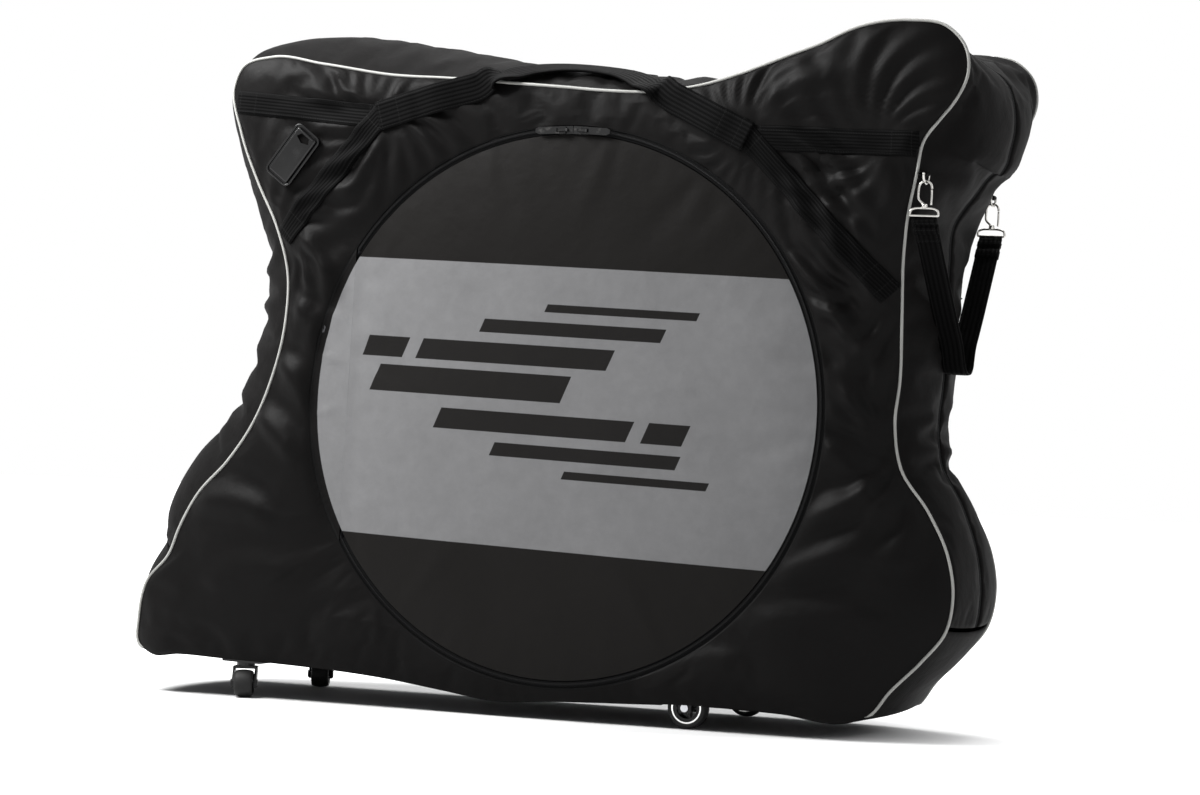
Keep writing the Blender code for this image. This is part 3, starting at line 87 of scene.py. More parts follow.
# Outline of a side from its low ear: shares of length, height, half depth and crown rise
OUTLINE_SHARES = (
    (-0.457, 0.895, 0.81, 0.50), (-0.448, 0.923, 0.81, 0.44), (-0.408, 0.940, 0.81, 0.44),
    (-0.339, 0.930, 0.81, 0.62), (-0.245, 0.914, 0.81, 0.65), (-0.170, 0.910, 0.81, 0.55),
    (-0.105, 0.905, 0.81, 0.45), (-0.027, 0.899, 0.81, 0.41), (0.019, 0.895, 0.81, 0.40),
    (0.085, 0.894, 0.82, 0.33), (0.136, 0.902, 0.84, 0.23), (0.187, 0.919, 0.88, 0.10),
    (0.239, 0.942, 0.92, -0.03), (0.281, 0.960, 0.96, -0.10), (0.332, 0.987, 0.99, -0.17),
    (0.387, 0.995, 1.00, -0.23), (0.427, 0.987, 1.00, -0.23), (0.450, 0.956, 1.00, -0.15),
    (0.454, 0.923, 1.00, 0.10), (0.442, 0.883, 1.00, 0.45), (0.425, 0.855, 0.99, 0.68),
    (0.409, 0.827, 0.98, 0.70), (0.402, 0.780, 0.96, 0.42), (0.393, 0.726, 0.91, 0.20),
    (0.386, 0.667, 0.81, 0.25), (0.385, 0.583, 0.74, 0.28), (0.385, 0.490, 0.69, 0.28),
    (0.381, 0.424, 0.66, 0.30), (0.390, 0.363, 0.64, 0.28), (0.423, 0.304, 0.62, 0.20),
    (0.447, 0.244, 0.61, 0.12), (0.455, 0.185, 0.60, 0.10), (0.449, 0.137, 0.59, 0.12),
    (0.424, 0.092, 0.59, 0.15), (0.391, 0.045, 0.61, 0.12), (0.369, 0.007, 0.64, 0.05),
    (0.349, -0.004, 0.68, 0.00), (0.273, 0.000, 0.75, 0.00), (0.183, 0.000, 0.79, 0.00),
    (0.091, -0.007, 0.79, -0.07), (0.000, -0.015, 0.79, -0.16), (-0.073, -0.023, 0.79, -0.24),
    (-0.136, -0.015, 0.79, -0.16), (-0.209, -0.006, 0.79, -0.06), (-0.357, 0.000, 0.79, 0.00),
    (-0.430, 0.000, 0.80, 0.00), (-0.491, 0.000, 0.81, 0.00), (-0.525, -0.004, 0.81, 0.03),
    (-0.542, 0.010, 0.81, 0.17), (-0.545, 0.054, 0.81, 0.38), (-0.537, 0.110, 0.81, 0.55),
    (-0.509, 0.155, 0.81, 0.75), (-0.496, 0.200, 0.81, 0.93), (-0.473, 0.255, 0.81, 0.97),
    (-0.436, 0.308, 0.81, 0.97), (-0.405, 0.370, 0.80, 1.00), (-0.385, 0.438, 0.79, 1.02),
    (-0.370, 0.536, 0.79, 1.02), (-0.372, 0.605, 0.78, 1.00), (-0.390, 0.677, 0.79, 0.80),
    (-0.419, 0.745, 0.79, 0.62), (-0.444, 0.821, 0.81, 0.55),
)
HANDLE_CROSS_SHARES = (-0.134, 0.106)
HANDLE_LIE_SHARES = ((0.03, 0.92), (0.14, 0.80), (0.28, 0.66), (0.50, 0.60), (0.72, 0.66),
                     (0.86, 0.80), (0.97, 0.92))
# Print of the round door: middle of its disc, slope and heights of the band's edges, lean of its streaks
PRINT_MIDDLE = (0.04521, 0.39024)
BAND_SLOPE, BAND_TOP, BAND_LOW = -0.0418, 0.5645, 0.2110
STREAK_LEAN = -0.45
BAND_SOFT, STREAK_SOFT = 0.0004, 0.0003
# Dark streaks printed on the band: height, half width, start and end, in metres
STREAKS = (
    (0.512, 0.0050, 0.030, 0.235), (0.486, 0.0085, -0.060, 0.190), (0.452, 0.0130, -0.150, 0.120),
    (0.412, 0.0170, -0.215, 0.060), (0.366, 0.0130, -0.120, 0.150), (0.332, 0.0085, -0.040, 0.215),
    (0.306, 0.0050, 0.060, 0.255), (0.366, 0.0130, 0.170, 0.225), (0.452, 0.0130, -0.230, -0.170),
)
FOLD_DEEP = 1.45
# Folds pressed into a side panel: start and end on the side, half width and height, in metres
PANEL_FOLDS = (
    (0.270, 0.640, 0.395, 0.560, 0.008, 0.0050), (0.285, 0.615, 0.400, 0.520, 0.009, 0.0050),
    (0.300, 0.590, 0.402, 0.490, 0.008, 0.0035), (0.262, 0.560, 0.360, 0.470, 0.010, 0.0060),
    (0.300, 0.500, 0.395, 0.430, 0.011, 0.0055), (0.310, 0.420, 0.400, 0.330, 0.014, 0.0050),
    (0.330, 0.330, 0.410, 0.260, 0.015, 0.0050), (0.290, 0.190, 0.440, 0.270, 0.018, 0.0050),
    (0.280, 0.150, 0.450, 0.200, 0.016, 0.0045), (0.260, 0.100, 0.430, 0.110, 0.018, 0.0040),
    (0.240, 0.720, 0.330, 0.770, 0.011, 0.0035), (0.250, 0.745, 0.300, 0.790, 0.010, 0.0030),
    (-0.290, 0.730, -0.350, 0.775, 0.007, 0.0045), (-0.300, 0.700, -0.420, 0.720, 0.008, 0.0030),
    (-0.275, 0.690, -0.330, 0.600, 0.009, 0.0040), (-0.260, 0.735, -0.245, 0.765, 0.006, 0.0035),
    (-0.310, 0.740, -0.420, 0.770, 0.010, 0.0035), (-0.390, 0.600, -0.440, 0.700, 0.009, 0.0035),
    (-0.385, 0.560, -0.330, 0.480, 0.012, 0.0040), (-0.400, 0.480, -0.350, 0.400, 0.012, 0.0040),
    (-0.420, 0.400, -0.355, 0.330, 0.014, 0.0045), (-0.470, 0.330, -0.370, 0.270, 0.016, 0.0045),
    (-0.520, 0.200, -0.400, 0.190, 0.018, 0.0040), (-0.500, 0.090, -0.350, 0.120, 0.020, 0.0035),
    (-0.330, 0.060, -0.220, 0.050, 0.012, 0.0030), (0.120, 0.020, 0.260, 0.060, 0.014, 0.0035),
)
# Dents of the round door: start and end on the side, half width and height, in metres
DOOR_DENTS = (
    (-0.350, 0.462, -0.250, 0.425, 0.016, 0.0030), (-0.352, 0.440, -0.245, 0.380, 0.014, -0.0026),
    (-0.354, 0.405, -0.280, 0.392, 0.010, 0.0018), (-0.335, 0.500, -0.260, 0.500, 0.013, -0.0018),
    (-0.345, 0.330, -0.280, 0.350, 0.012, 0.0014), (0.050, 0.700, 0.000, 0.590, 0.020, 0.0016),
    (0.170, 0.655, 0.090, 0.560, 0.022, -0.0016), (0.325, 0.430, 0.220, 0.470, 0.018, 0.0016),
    (0.335, 0.340, 0.230, 0.300, 0.020, -0.0018), (0.150, 0.060, 0.080, 0.170, 0.020, 0.0015),
    (-0.120, 0.690, -0.080, 0.590, 0.018, -0.0014), (-0.200, 0.100, -0.120, 0.200, 0.022, 0.0014),
)
# Where gathered cloth radiates from: place on the side, ridges round it, reach and height, in metres
PANEL_GATHERS = (
    (-0.279, 0.712, 17, 0.055, 0.0030), (0.228, 0.694, 19, 0.060, 0.0032),
    (0.405, 0.690, 15, 0.045, 0.0030), (-0.411, 0.556, 13, 0.045, 0.0026),
    (0.402, 0.522, 15, 0.050, 0.0030), (0.420, 0.340, 13, 0.070, 0.0026),
)
# Steps of the outline here and in the part, in metres
FACET, PART_FACET = 0.006, 0.062
# Cloth stays sharp over this angle, and hard pieces over the next
CREASED, CORNERED = radians(60), radians(40)
CLOTH_FRAMES = 20
# Half of the hanging strap: shares of its reach and of its drop
STRAP_SHARES = ((1, 0), (0.93, 0.08), (0.8, 0.24), (0.68, 0.38), (0.55, 0.53), (0.42, 0.68), (0.3, 0.81),
                (0.2, 0.92))
# Sections of the zips: distance from the bag's middle, or from the pocket's edge, and height, in metres
MAIN_ZIP_PROFILE = ((0.0080, -0.0006), (0.0060, 0), (0.0033, 0), (0.0028, 0.0009), (0.0016, 0.0013),
                    (0.0004, 0.0007))
POCKET_ZIP_PROFILE = ((0, -0.0004), (0.0012, 0), (0.0023, 0), (0.0027, 0.0010), (0.00425, 0.0015),
                      (0.0058, 0.0010), (0.0062, 0), (0.0073, 0), (ZIP_WIDE, -0.0004))


def bag_matrix() -> Matrix:
    """The bag's own leaning frame in the row frame.

    Returns:
        The matrix that takes a point of the bag's frame to the row frame.
    """
    lean = asin(0.018 / (FIXED_X - CASTER_X))
    lift = 0.026 + 0.004 * cos(lean) + FIXED_X * sin(lean)
    return Matrix.Translation((0.04497, 0, lift)) @ Matrix.Rotation(lean, 4, "Y")


BAG = bag_matrix()


class Side(Enum):
    """The two sides of the bag; the value is the sign of their depth."""

    FRONT = -1
    REAR = 1

    @property
    def title(self) -> str:
        """The side's name in the part."""
        return self.name.lower()


# Shader arithmetic and finishes

class Tap:
    """An output socket that takes part in Python arithmetic."""

    def __init__(self, recipe: "Recipe", socket: bpy.types.NodeSocket) -> None:
        """Wraps a socket of a recipe's tree."""
        self.recipe, self.socket = recipe, socket

    def math(self, operation: str, *values: "Tap | float", clamp: bool = False) -> "Tap":
        """Adds one Math node on this tap.

        Args:
            operation: the Math node's operation.
            values: its other inputs.
            clamp: whether the result stays from 0 to 1.
        Returns:
            The result.
        """
        return self.recipe.add("ShaderNodeMath", {"operation": operation, "use_clamp": clamp},
                               dict(enumerate((self, *values))))

    def __add__(self, other: "Tap | float") -> "Tap":
        """Sum."""
        return self.math("ADD", other)

    def __radd__(self, other: float) -> "Tap":
        """Sum with the number first."""
        return self.math("ADD", other)

    def __sub__(self, other: "Tap | float") -> "Tap":
        """Difference."""
        return self.math("SUBTRACT", other)

    def __rsub__(self, other: float) -> "Tap":
        """Difference with the number first."""
        return self.recipe.add("ShaderNodeMath", {"operation": "SUBTRACT"}, {0: other, 1: self})

    def __mul__(self, other: "Tap | float") -> "Tap":
        """Product."""
        return self.math("MULTIPLY", other)

    def __rmul__(self, other: float) -> "Tap":
        """Product with the number first."""
        return self.math("MULTIPLY", other)

    def smooth(self, low: float, high: float) -> "Tap":
        """0 below low, 1 above high and a soft step between."""
        return self.recipe.add("ShaderNodeMapRange", {"interpolation_type": "SMOOTHSTEP"},
                               {"Value": self, "From Min": low, "From Max": high})


class Recipe:
    """The node tree of a material or of the world, and the ways to add to it."""

    def __init__(self, holder: bpy.types.Material | bpy.types.World) -> None:
        """Turns on the nodes of a new material or world.

        Args:
            holder: the material or world.
        """
        holder.use_nodes = True
        self.holder, self.tree = holder, holder.node_tree
        world = isinstance(holder, bpy.types.World)
        self.shader = self.tree.nodes["Background" if world else "Principled BSDF"]
        self.end = self.tree.nodes["World Output" if world else "Material Output"]

    def add(self, kind: str, settings: dict | None = None, sockets: dict | None = None,
            output: str | int = 0) -> Tap:
        """Adds a node.

        Args:
            kind: the node's type.
            settings: attributes of the node.
            sockets: values or taps by input name or number.
            output: the output to give back.
        Returns:
            The output.
        """
        node = self.tree.nodes.new(kind)
        for key, value in (settings or {}).items():
            setattr(node, key, value)
        for key, value in (sockets or {}).items():
            self.feed(node.inputs[key], value)
        return Tap(self, node.outputs[output])

    def feed(self, socket: bpy.types.NodeSocket, value: object) -> None:
        """Links a tap to an input, or sets its value.

        Args:
            socket: the input.
            value: the tap or the value.
        """
        if isinstance(value, Tap):
            self.tree.links.new(value.socket, socket)
        else:
            socket.default_value = value

    def set(self, **values: object) -> None:
        """Feeds the shader's own inputs, with _ for a space in their names."""
        for key, value in values.items():
            self.feed(self.shader.inputs[key.replace("_", " ")], value)

    def place(self) -> Tap:
        """Object coordinates."""
        return self.add("ShaderNodeTexCoord", output="Object")

    def sewn(self) -> tuple[Tap, Tap]:
        """The piece's own lengths: along it and across it, in metres."""
        return self.axes(self.add("ShaderNodeUVMap", {"uv_map": "sewn"}))[:2]

    def axes(self, vector: Tap) -> tuple[Tap, Tap, Tap]:
        """A vector's three numbers."""
        node = self.add("ShaderNodeSeparateXYZ", None, {0: vector}).socket.node
        return tuple(Tap(self, output) for output in node.outputs)

    def noise(self, scale: float, detail: float = 2.0, rough: float = 0.5) -> Tap:
        """Noise from 0 to 1.

        Args:
            scale: patches in a metre.
            detail: octaves.
            rough: their strength.
        Returns:
            The noise's value.
        """
        return self.add("ShaderNodeTexNoise", None, {"Vector": self.place(), "Scale": scale, "Detail": detail,
                                                     "Roughness": rough})

    def ridges(self, value: Tap, pitch: float) -> Tap:
        """A sine of 0 to 1 with this pitch along a value."""
        return (value * (2 * pi / pitch)).math("SINE") * 0.5 + 0.5

    def blend(self, mask: Tap | float, low: object, high: object) -> Tap:
        """Mixes two colours by a mask.

        Args:
            mask: 0 for the first colour, 1 for the second.
            low: the first colour.
            high: the second colour.
        Returns:
            The mixed colour.
        """
        node = self.add("ShaderNodeMix", {"data_type": "RGBA"}, {0: mask}).socket.node
        for socket, value in ((node.inputs[6], low), (node.inputs[7], high)):
            self.feed(socket, (*value, 1) if isinstance(value, tuple) else value)
        return Tap(self, node.outputs[2])

    def relief(self, height: Tap, deep: float) -> None:
        """Bumps the surface by a height of 0 to 1, this many metres deep."""
        bump = self.add("ShaderNodeBump", None, {"Height": height, "Distance": deep, "Strength": 1.0})
        self.set(Normal=bump)

    def seen(self) -> Tap:
        """Tells what is seen directly from what other light meets.

        Returns:
            1 for what the camera, gloss or glass sees, and 0 for the rest.
        """
        paths = self.add("ShaderNodeLightPath").socket.node.outputs
        camera, *others = (Tap(self, paths[way]) for way in ("Is Camera Ray", "Is Glossy Ray",
                                                             "Is Transmission Ray"))
        for other in others:
            camera = camera.math("MAXIMUM", other)
        return camera

    def show(self, plain: Tap, direct: Tap) -> None:
        """Ends the tree with one shader for light and another for what is seen directly."""
        self.feed(self.end.inputs["Surface"], self.add("ShaderNodeMixShader", None,
                                                       {0: self.seen(), 1: plain, 2: direct}))


@dataclass(frozen=True)
class Nylon:
    """Satin woven nylon, with the round pocket's printed colours where they are asked for."""

    name: str
    dark: tuple[float, float, float] = (0.0030, 0.0028, 0.0028)
    light: tuple[float, float, float] = (0.0064, 0.0060, 0.0059)
    band: tuple[float, float, float] = (0.186, 0.186, 0.189)
    printed: bool = False
    crease: float = 0.0008
    gloss: float = 0.045
    matt: float = 0.0
    weave: float = 0.0013

    @staticmethod
    def bars(x: Tap, z: Tap, level: Tap) -> Tap:
        """The dark streaks of the band.

        Args:
            x: places along the bag.
            z: heights.
            level: heights less the band's slope.
        Returns:
            1 on a streak and 0 beside it.
        """
        found = None
        for middle, half, start, end in STREAKS:
            run = x + (z - middle) * STREAK_LEAN
            bar = ((level - middle).math("ABSOLUTE") * -1 + half).smooth(-STREAK_SOFT, STREAK_SOFT)
            bar = bar * (run - start).smooth(-STREAK_SOFT, STREAK_SOFT) * (
                1 - (run - end).smooth(-STREAK_SOFT, STREAK_SOFT))
            found = bar if found is None else found.math("MAXIMUM", bar)
        return found

    def build(self) -> bpy.types.Material:
        """Makes the material."""
        r = Recipe(bpy.data.materials.new(self.name))
        x, _, z = r.axes(r.place())
        warp, weft = r.ridges(x + z, self.weave), r.ridges(x - z, self.weave)
        cloud = r.noise(7, 3)
        crumple = r.noise(38, 4, 0.55)
        fine = r.noise(260, 2)
        colour = r.blend(cloud, self.dark, self.light)
        rough = 0.38 + self.matt + 0.10 * cloud + 0.05 * fine
        broad = r.noise(13, 3, 0.45)
        height = broad * 1.8 + crumple + warp * weft * 0.08 + fine * 0.04
        if self.printed:
            off, up = x - PRINT_MIDDLE[0], z - PRINT_MIDDLE[1]
            reach = (off * off + up * up).math("SQRT")
            level = z - off * BAND_SLOPE
            top = 1 - (level - BAND_TOP).smooth(-BAND_SOFT, BAND_SOFT)
            low = (level - BAND_LOW).smooth(-BAND_SOFT, BAND_SOFT)
            disc = 1 - reach.smooth(POCKET_RADIUS - 0.0105, POCKET_RADIUS - 0.0095)
            colour = r.blend(disc * 0.6, colour, (0.0128, 0.0119, 0.0111))
            mask = top * low * disc * (1 - self.bars(x, z, level) * 0.985)
            scuff = r.noise(55, 5, 0.65)
            pale = r.blend(scuff.smooth(0.25, 0.8), tuple(c * 0.90 for c in self.band), self.band)
            colour = r.blend(mask, colour, pale)
            rough = rough + mask * 0.07
            seam = (reach - POCKET_RADIUS).math("ABSOLUTE").smooth(0.0005, 0.0022)
            colour = r.blend(seam, (0.006, 0.006, 0.006), colour)
            height = height * (0.4 + 0.6 * seam)
        r.set(Base_Color=colour, Roughness=rough, Specular_IOR_Level=self.gloss, Sheen_Weight=0.005,
              Sheen_Roughness=0.4)
        r.relief(height, self.crease)
        return r.holder


@dataclass(frozen=True)
class Webbing:
    """Polypropylene webbing, ribbed along its length, with sewn lines at its ends."""

    name: str
    width: float
    length: float
    ribs: int = 7
    boxed: bool = True
    seam_in: float = 0.003
    seam_soft: tuple[float, float] = (0.0003, 0.0008)

    def build(self) -> bpy.types.Material:
        """Makes the material."""
        r = Recipe(bpy.data.materials.new(self.name))
        along, across = r.sewn()
        rib = r.ridges(across, self.width / self.ribs)
        pick = r.ridges(along + rib * 0.0008, 0.0021)
        cloud = r.noise(30, 3)
        height = rib.math("POWER", 0.5) * 0.7 + pick * 0.22
        # The grooves between the ribs are painted darker than the crests: a painted shade in the grooves.
        colour = r.blend(rib, (0.0008, 0.0008, 0.0008), (0.0030, 0.0029, 0.0030))
        colour = r.blend(cloud * 0.30, colour, (0.0045, 0.0045, 0.0045))
        if self.boxed:
            edge = (across - self.width * 0.5).math("ABSOLUTE") - (self.width * 0.5 - self.seam_in)
            line = 1 - edge.math("ABSOLUTE").smooth(*self.seam_soft)
            for spot in (0.004, 0.030, self.length - 0.030, self.length - 0.004):
                line = line.math("MAXIMUM", 1 - (along - spot).math("ABSOLUTE").smooth(*self.seam_soft))
            dash = r.ridges(along + across, 0.0034).smooth(0.25, 0.5)
            thread = line * dash
            height = height * (1 - line * 0.6) + thread * 0.5
            colour = r.blend(thread, colour, (0.012, 0.012, 0.012))
        r.set(Base_Color=colour, Roughness=0.64 + 0.2 * (1 - rib), Specular_IOR_Level=0.035)
        r.relief(height, 0.00060)
        return r.holder


@dataclass(frozen=True)
class Piping:
    """Pale grey coated welt with a faint wrap and handling marks."""

    name: str = "piping_finish"

    def build(self) -> bpy.types.Material:
        """Makes the material."""
        r = Recipe(bpy.data.materials.new(self.name))
        along, _ = r.sewn()
        wrap = r.ridges(along, 0.0016)
        dirt = r.noise(18, 5, 0.6).smooth(0.45, 0.8)
        colour = r.blend(dirt * 0.5, (0.38, 0.38, 0.36), (0.22, 0.22, 0.208))
        r.set(Base_Color=colour, Roughness=0.42 + 0.15 * dirt)
        r.relief(wrap, 0.0002)
        return r.holder


@dataclass(frozen=True)
class ZipTape:
    """Coil zip on woven tape: the coil stands in the middle of the tape or at one edge."""

    name: str
    coil: float
    coil_half: float

    def build(self) -> bpy.types.Material:
        """Makes the material."""
        r = Recipe(bpy.data.materials.new(self.name))
        along, across = r.sewn()
        teeth = r.ridges(along, 0.0016)
        coil = 1 - (across - self.coil).math("ABSOLUTE").smooth(self.coil_half - 0.0004, self.coil_half)
        tape = r.ridges(along + across, 0.0009)
        # Each tooth of the coil is painted lighter than the gaps between the teeth, a painted shade in the
        # gaps; the tape keeps its dark colour.
        colour = r.blend(coil * teeth, (0.0020, 0.0020, 0.0021), (0.0060, 0.0060, 0.0064))
        r.set(Base_Color=colour, Roughness=0.66 - 0.22 * coil, Specular_IOR_Level=0.06)
        r.relief(coil * teeth + tape * 0.12, 0.0007)
        return r.holder


@dataclass(frozen=True)
class Hard:
    """Metal or moulded plastic: colour, gloss, grain and wear."""

    name: str
    colour: tuple[float, float, float]
    worn: tuple[float, float, float]
    rough: float
    metal: float = 0.0
    grain: float = 400.0
    deep: float = 0.00004
    gloss: float = 0.25

    def build(self) -> bpy.types.Material:
        """Makes the material."""
        r = Recipe(bpy.data.materials.new(self.name))
        grain, wear = r.noise(self.grain, 3), r.noise(self.grain / 9, 5, 0.65)
        mark = wear.smooth(0.52, 0.78)
        r.set(Base_Color=r.blend(mark, self.colour, self.worn), Metallic=self.metal,
              Roughness=self.rough + 0.12 * mark + 0.06 * grain, Specular_IOR_Level=self.gloss)
        r.relief(grain + wear * 0.6, self.deep)
        return r.holder


@dataclass(frozen=True)
class Lining:
    """Plain woven lining of the pockets and of the bag's inside."""

    name: str = "lining_finish"

    def build(self) -> bpy.types.Material:
        """Makes the material."""
        r = Recipe(bpy.data.materials.new(self.name))
        x, y, z = r.axes(r.place())
        weave = r.ridges(x + y, 0.0022) * r.ridges(z - y, 0.0022)
        crumple = r.noise(26, 4, 0.6)
        # The hollows of the crumple are painted darker than its ridges: a painted shade in the creases.
        r.set(Base_Color=r.blend(crumple, (0.030, 0.030, 0.033), (0.052, 0.052, 0.057)), Roughness=0.78)
        r.relief(crumple + weave * 0.15, 0.0008)
        return r.holder


class Finishes:
    """Every finish, built once and given out by name."""

    def __init__(self) -> None:
        """Builds the shared finishes."""
        made = (
            Nylon("panel_nylon", printed=True),
            Nylon("gusset_nylon", crease=0.0011, gloss=0.03, matt=0.16),
            Piping(), Lining(),
            ZipTape("pocket_zip_finish", ZIP_WIDE / 2, 0.0021), ZipTape("main_zip_finish", 0.0055, 0.0022),
            Hard("nickel_finish", (0.44, 0.43, 0.41), (0.26, 0.25, 0.24), 0.17, 1.0, 300),
            Hard("steel_finish", (0.52, 0.53, 0.55), (0.36, 0.36, 0.37), 0.30, 1.0, 250),
            Hard("alloy_finish", (0.66, 0.67, 0.68), (0.50, 0.50, 0.51), 0.36, 1.0, 180),
            Hard("board_finish", (0.030, 0.030, 0.032), (0.055, 0.055, 0.057), 0.55, 0.0, 120, 0.0002),
            Hard("moulded_finish", (0.0055, 0.0055, 0.006), (0.014, 0.014, 0.0145), 0.34, 0.0, 500, 0.00006),
            Hard("gloss_finish", (0.0026, 0.0026, 0.0027), (0.006, 0.006, 0.006), 0.20, 0.0, 300, 0.00002,
                 0.34),
            Hard("slider_finish", (0.0060, 0.0060, 0.0062), (0.07, 0.068, 0.065), 0.24, 0.35, 900, 0.00004,
                 0.5),
            Hard("tyre_finish", (0.008, 0.008, 0.008), (0.024, 0.023, 0.022), 0.55, 0.0, 350, 0.0001),
            Hard("rim_finish", (0.78, 0.78, 0.77), (0.62, 0.62, 0.60), 0.18, 1.0, 220),
        )
        self.kept = {finish.name: finish.build() for finish in made}

    def __getitem__(self, name: str) -> bpy.types.Material:
        """The finish of this name."""
        return self.kept[name]


# Modelling steps

class Bench:
    """Modelling steps that the sub-assemblies share."""

    @staticmethod
    def clear() -> None:
        """Deselects everything."""
        if bpy.context.object and bpy.context.object.mode != "OBJECT":
            bpy.ops.object.mode_set(mode="OBJECT")
        bpy.ops.object.select_all(action="DESELECT")

    @staticmethod
    def take(body: bpy.types.Object) -> None:
        """Makes a body the only selected and active one."""
        Bench.clear()
        body.select_set(True)
        bpy.context.view_layer.objects.active = body

    @staticmethod
    def apply(body: bpy.types.Object, kind: str, **settings: object) -> None:
        """Adds a modifier and applies it.

        Args:
            body: the object.
            kind: the modifier's type.
            settings: its settings.
        """
        Bench.take(body)
        step = body.modifiers.new(kind.title(), kind)
        for key, value in settings.items():
            setattr(step, key, value)
        bpy.ops.object.modifier_apply(modifier=step.name)

    @staticmethod
    def edit(body: bpy.types.Object, choose: Callable[[bmesh.types.BMFace], bool] | None,
             steps: Callable[[], None]) -> None:
        """Runs edit-mode operators on chosen faces.

        Args:
            body: the object.
            choose: tells whether a face takes part; all do if there is none.
            steps: the operators.
        """
        Bench.take(body)
        bpy.ops.object.mode_set(mode="EDIT")
        bpy.ops.mesh.select_mode(type="FACE")
        bpy.ops.mesh.select_all(action="SELECT" if choose is None else "DESELECT")
        if choose is not None:
            data = bmesh.from_edit_mesh(body.data)
            for face in data.faces:
                face.select_set(choose(face))
            data.select_flush(True)
            bmesh.update_edit_mesh(body.data)
        steps()
        bpy.ops.object.mode_set(mode="OBJECT")

    @staticmethod
    def block(size: Sequence[float], at: Sequence[float] = (0, 0, 0)) -> bpy.types.Object:
        """Makes a box with its scale applied.

        Args:
            size: its three sizes.
            at: its middle.
        Returns:
            The box.
        """
        Bench.clear()
        bpy.ops.mesh.primitive_cube_add(size=1, location=at, scale=size)
        bpy.ops.object.transform_apply(location=True, rotation=True, scale=True)
        return bpy.context.object

    @staticmethod
    def lathe(profile: Sequence[tuple[float, float]], steps: int = 48) -> bpy.types.Object:
        """Spins a closed profile of radius and height round z.

        Args:
            profile: the section's corners.
            steps: facets round the axis.
        Returns:
            The turned body.
        """
        Bench.clear()
        bpy.ops.mesh.primitive_circle_add(vertices=len(profile), radius=0.01)
        body = bpy.context.object
        for vertex, (radius, height) in zip(body.data.vertices, profile):
            vertex.co = (radius, 0, height)
        bpy.ops.object.mode_set(mode="EDIT")
        bpy.ops.mesh.select_all(action="SELECT")
        bpy.ops.mesh.spin(steps=steps, angle=2 * pi, center=(0, 0, 0), axis=(0, 0, 1))
        bpy.ops.mesh.select_all(action="SELECT")
        bpy.ops.mesh.remove_doubles(threshold=0.00002)
        bpy.ops.mesh.normals_make_consistent(inside=False)
        bpy.ops.object.mode_set(mode="OBJECT")
        return body

    @staticmethod
    def wire(points: Sequence[Vector], radius: float, ring: bool = False, fine: int = 4) -> bpy.types.Object:
        """Round wire bent along points.

        Args:
            points: the bends.
            radius: the wire's radius.
            ring: whether it closes on itself.
            fine: steps between two bends.
        Returns:
            The wire as a mesh.
        """
        curve = bpy.data.curves.new("wire", "CURVE")
        curve.dimensions = "3D"
        curve.bevel_depth, curve.bevel_resolution, curve.use_fill_caps = radius, 3, not ring
        curve.resolution_u = fine
        line = curve.splines.new("NURBS")
        line.points.add(len(points) - 1)
        for spot, point in zip(line.points, points):
            spot.co = (*point, 1)
        line.order_u, line.use_cyclic_u, line.use_endpoint_u = 3, ring, not ring
        body = bpy.data.objects.new("wire", curve)
        bpy.context.scene.collection.objects.link(body)
        Bench.take(body)
        bpy.ops.object.convert(target="MESH")
        Bench.edit(body, None, lambda: (bpy.ops.mesh.remove_doubles(threshold=0.00001),
                                        bpy.ops.mesh.normals_make_consistent(inside=False)))
        return body

    @staticmethod
    def join(first: bpy.types.Object, *others: bpy.types.Object) -> bpy.types.Object:
        """Joins bodies into one.

        Args:
            first: the body that stays.
            others: the bodies that go into it.
        Returns:
            The first body.
        """
        Bench.take(first)
        for other in others:
            other.select_set(True)
        bpy.ops.object.join()
        return first

    @staticmethod
    def cloth(rows: np.ndarray, outward: Vector | None, ring: bool = False, across: bool = False,
              drop: Callable[[Vector], bool] | None = None) -> bpy.types.Object:
        """A sheet over a grid of points, with its own lengths as a UV map.

        Args:
            rows: the points, by row, by place along the row.
            outward: a direction that its faces point towards, or none where the centre tells.
            ring: whether the last row meets the first.
            across: whether each row closes on itself.
            drop: tells which faces to leave out, by their middle.
        Returns:
            The sheet.
        """
        count, wide = rows.shape[:2]
        steps = np.linalg.norm(np.roll(rows, -1, 0) - rows, axis=2).mean(1)
        along = np.concatenate([[0], np.cumsum(steps)])
        over = np.linalg.norm(np.roll(rows, -1, 1) - rows, axis=2).mean(0)
        spread = np.concatenate([[0], np.cumsum(over)])
        faces, lengths = [], []
        for i in range(count if ring else count - 1):
            k = (i + 1) % count
            for j in range(wide if across else wide - 1):
                m = (j + 1) % wide
                corners = (i * wide + j, i * wide + m, k * wide + m, k * wide + j)
                if drop and drop(Vector(rows.reshape(-1, 3)[list(corners)].mean(0))):
                    continue
                faces.append(corners)
                lengths += [(along[i], spread[j]), (along[i], spread[j + 1]),
                            (along[i + 1], spread[j + 1]), (along[i + 1], spread[j])]
        mesh = bpy.data.meshes.new("cloth")
        mesh.from_pydata(rows.reshape(-1, 3).tolist(), [], faces)
        layer = mesh.uv_layers.new(name="sewn")
        layer.data.foreach_set("uv", np.array(lengths, np.float32).ravel())
        body = bpy.data.objects.new("cloth", mesh)
        bpy.context.scene.collection.objects.link(body)
        normals = np.zeros(len(mesh.polygons) * 3)
        middles = np.zeros(len(mesh.polygons) * 3)
        mesh.polygons.foreach_get("normal", normals)
        mesh.polygons.foreach_get("center", middles)
        normals, middles = normals.reshape(-1, 3), middles.reshape(-1, 3)
        way = np.array(outward) if outward is not None else middles - middles.mean(0)
        if (normals * way).sum() < 0:
            mesh.flip_normals()
        return body

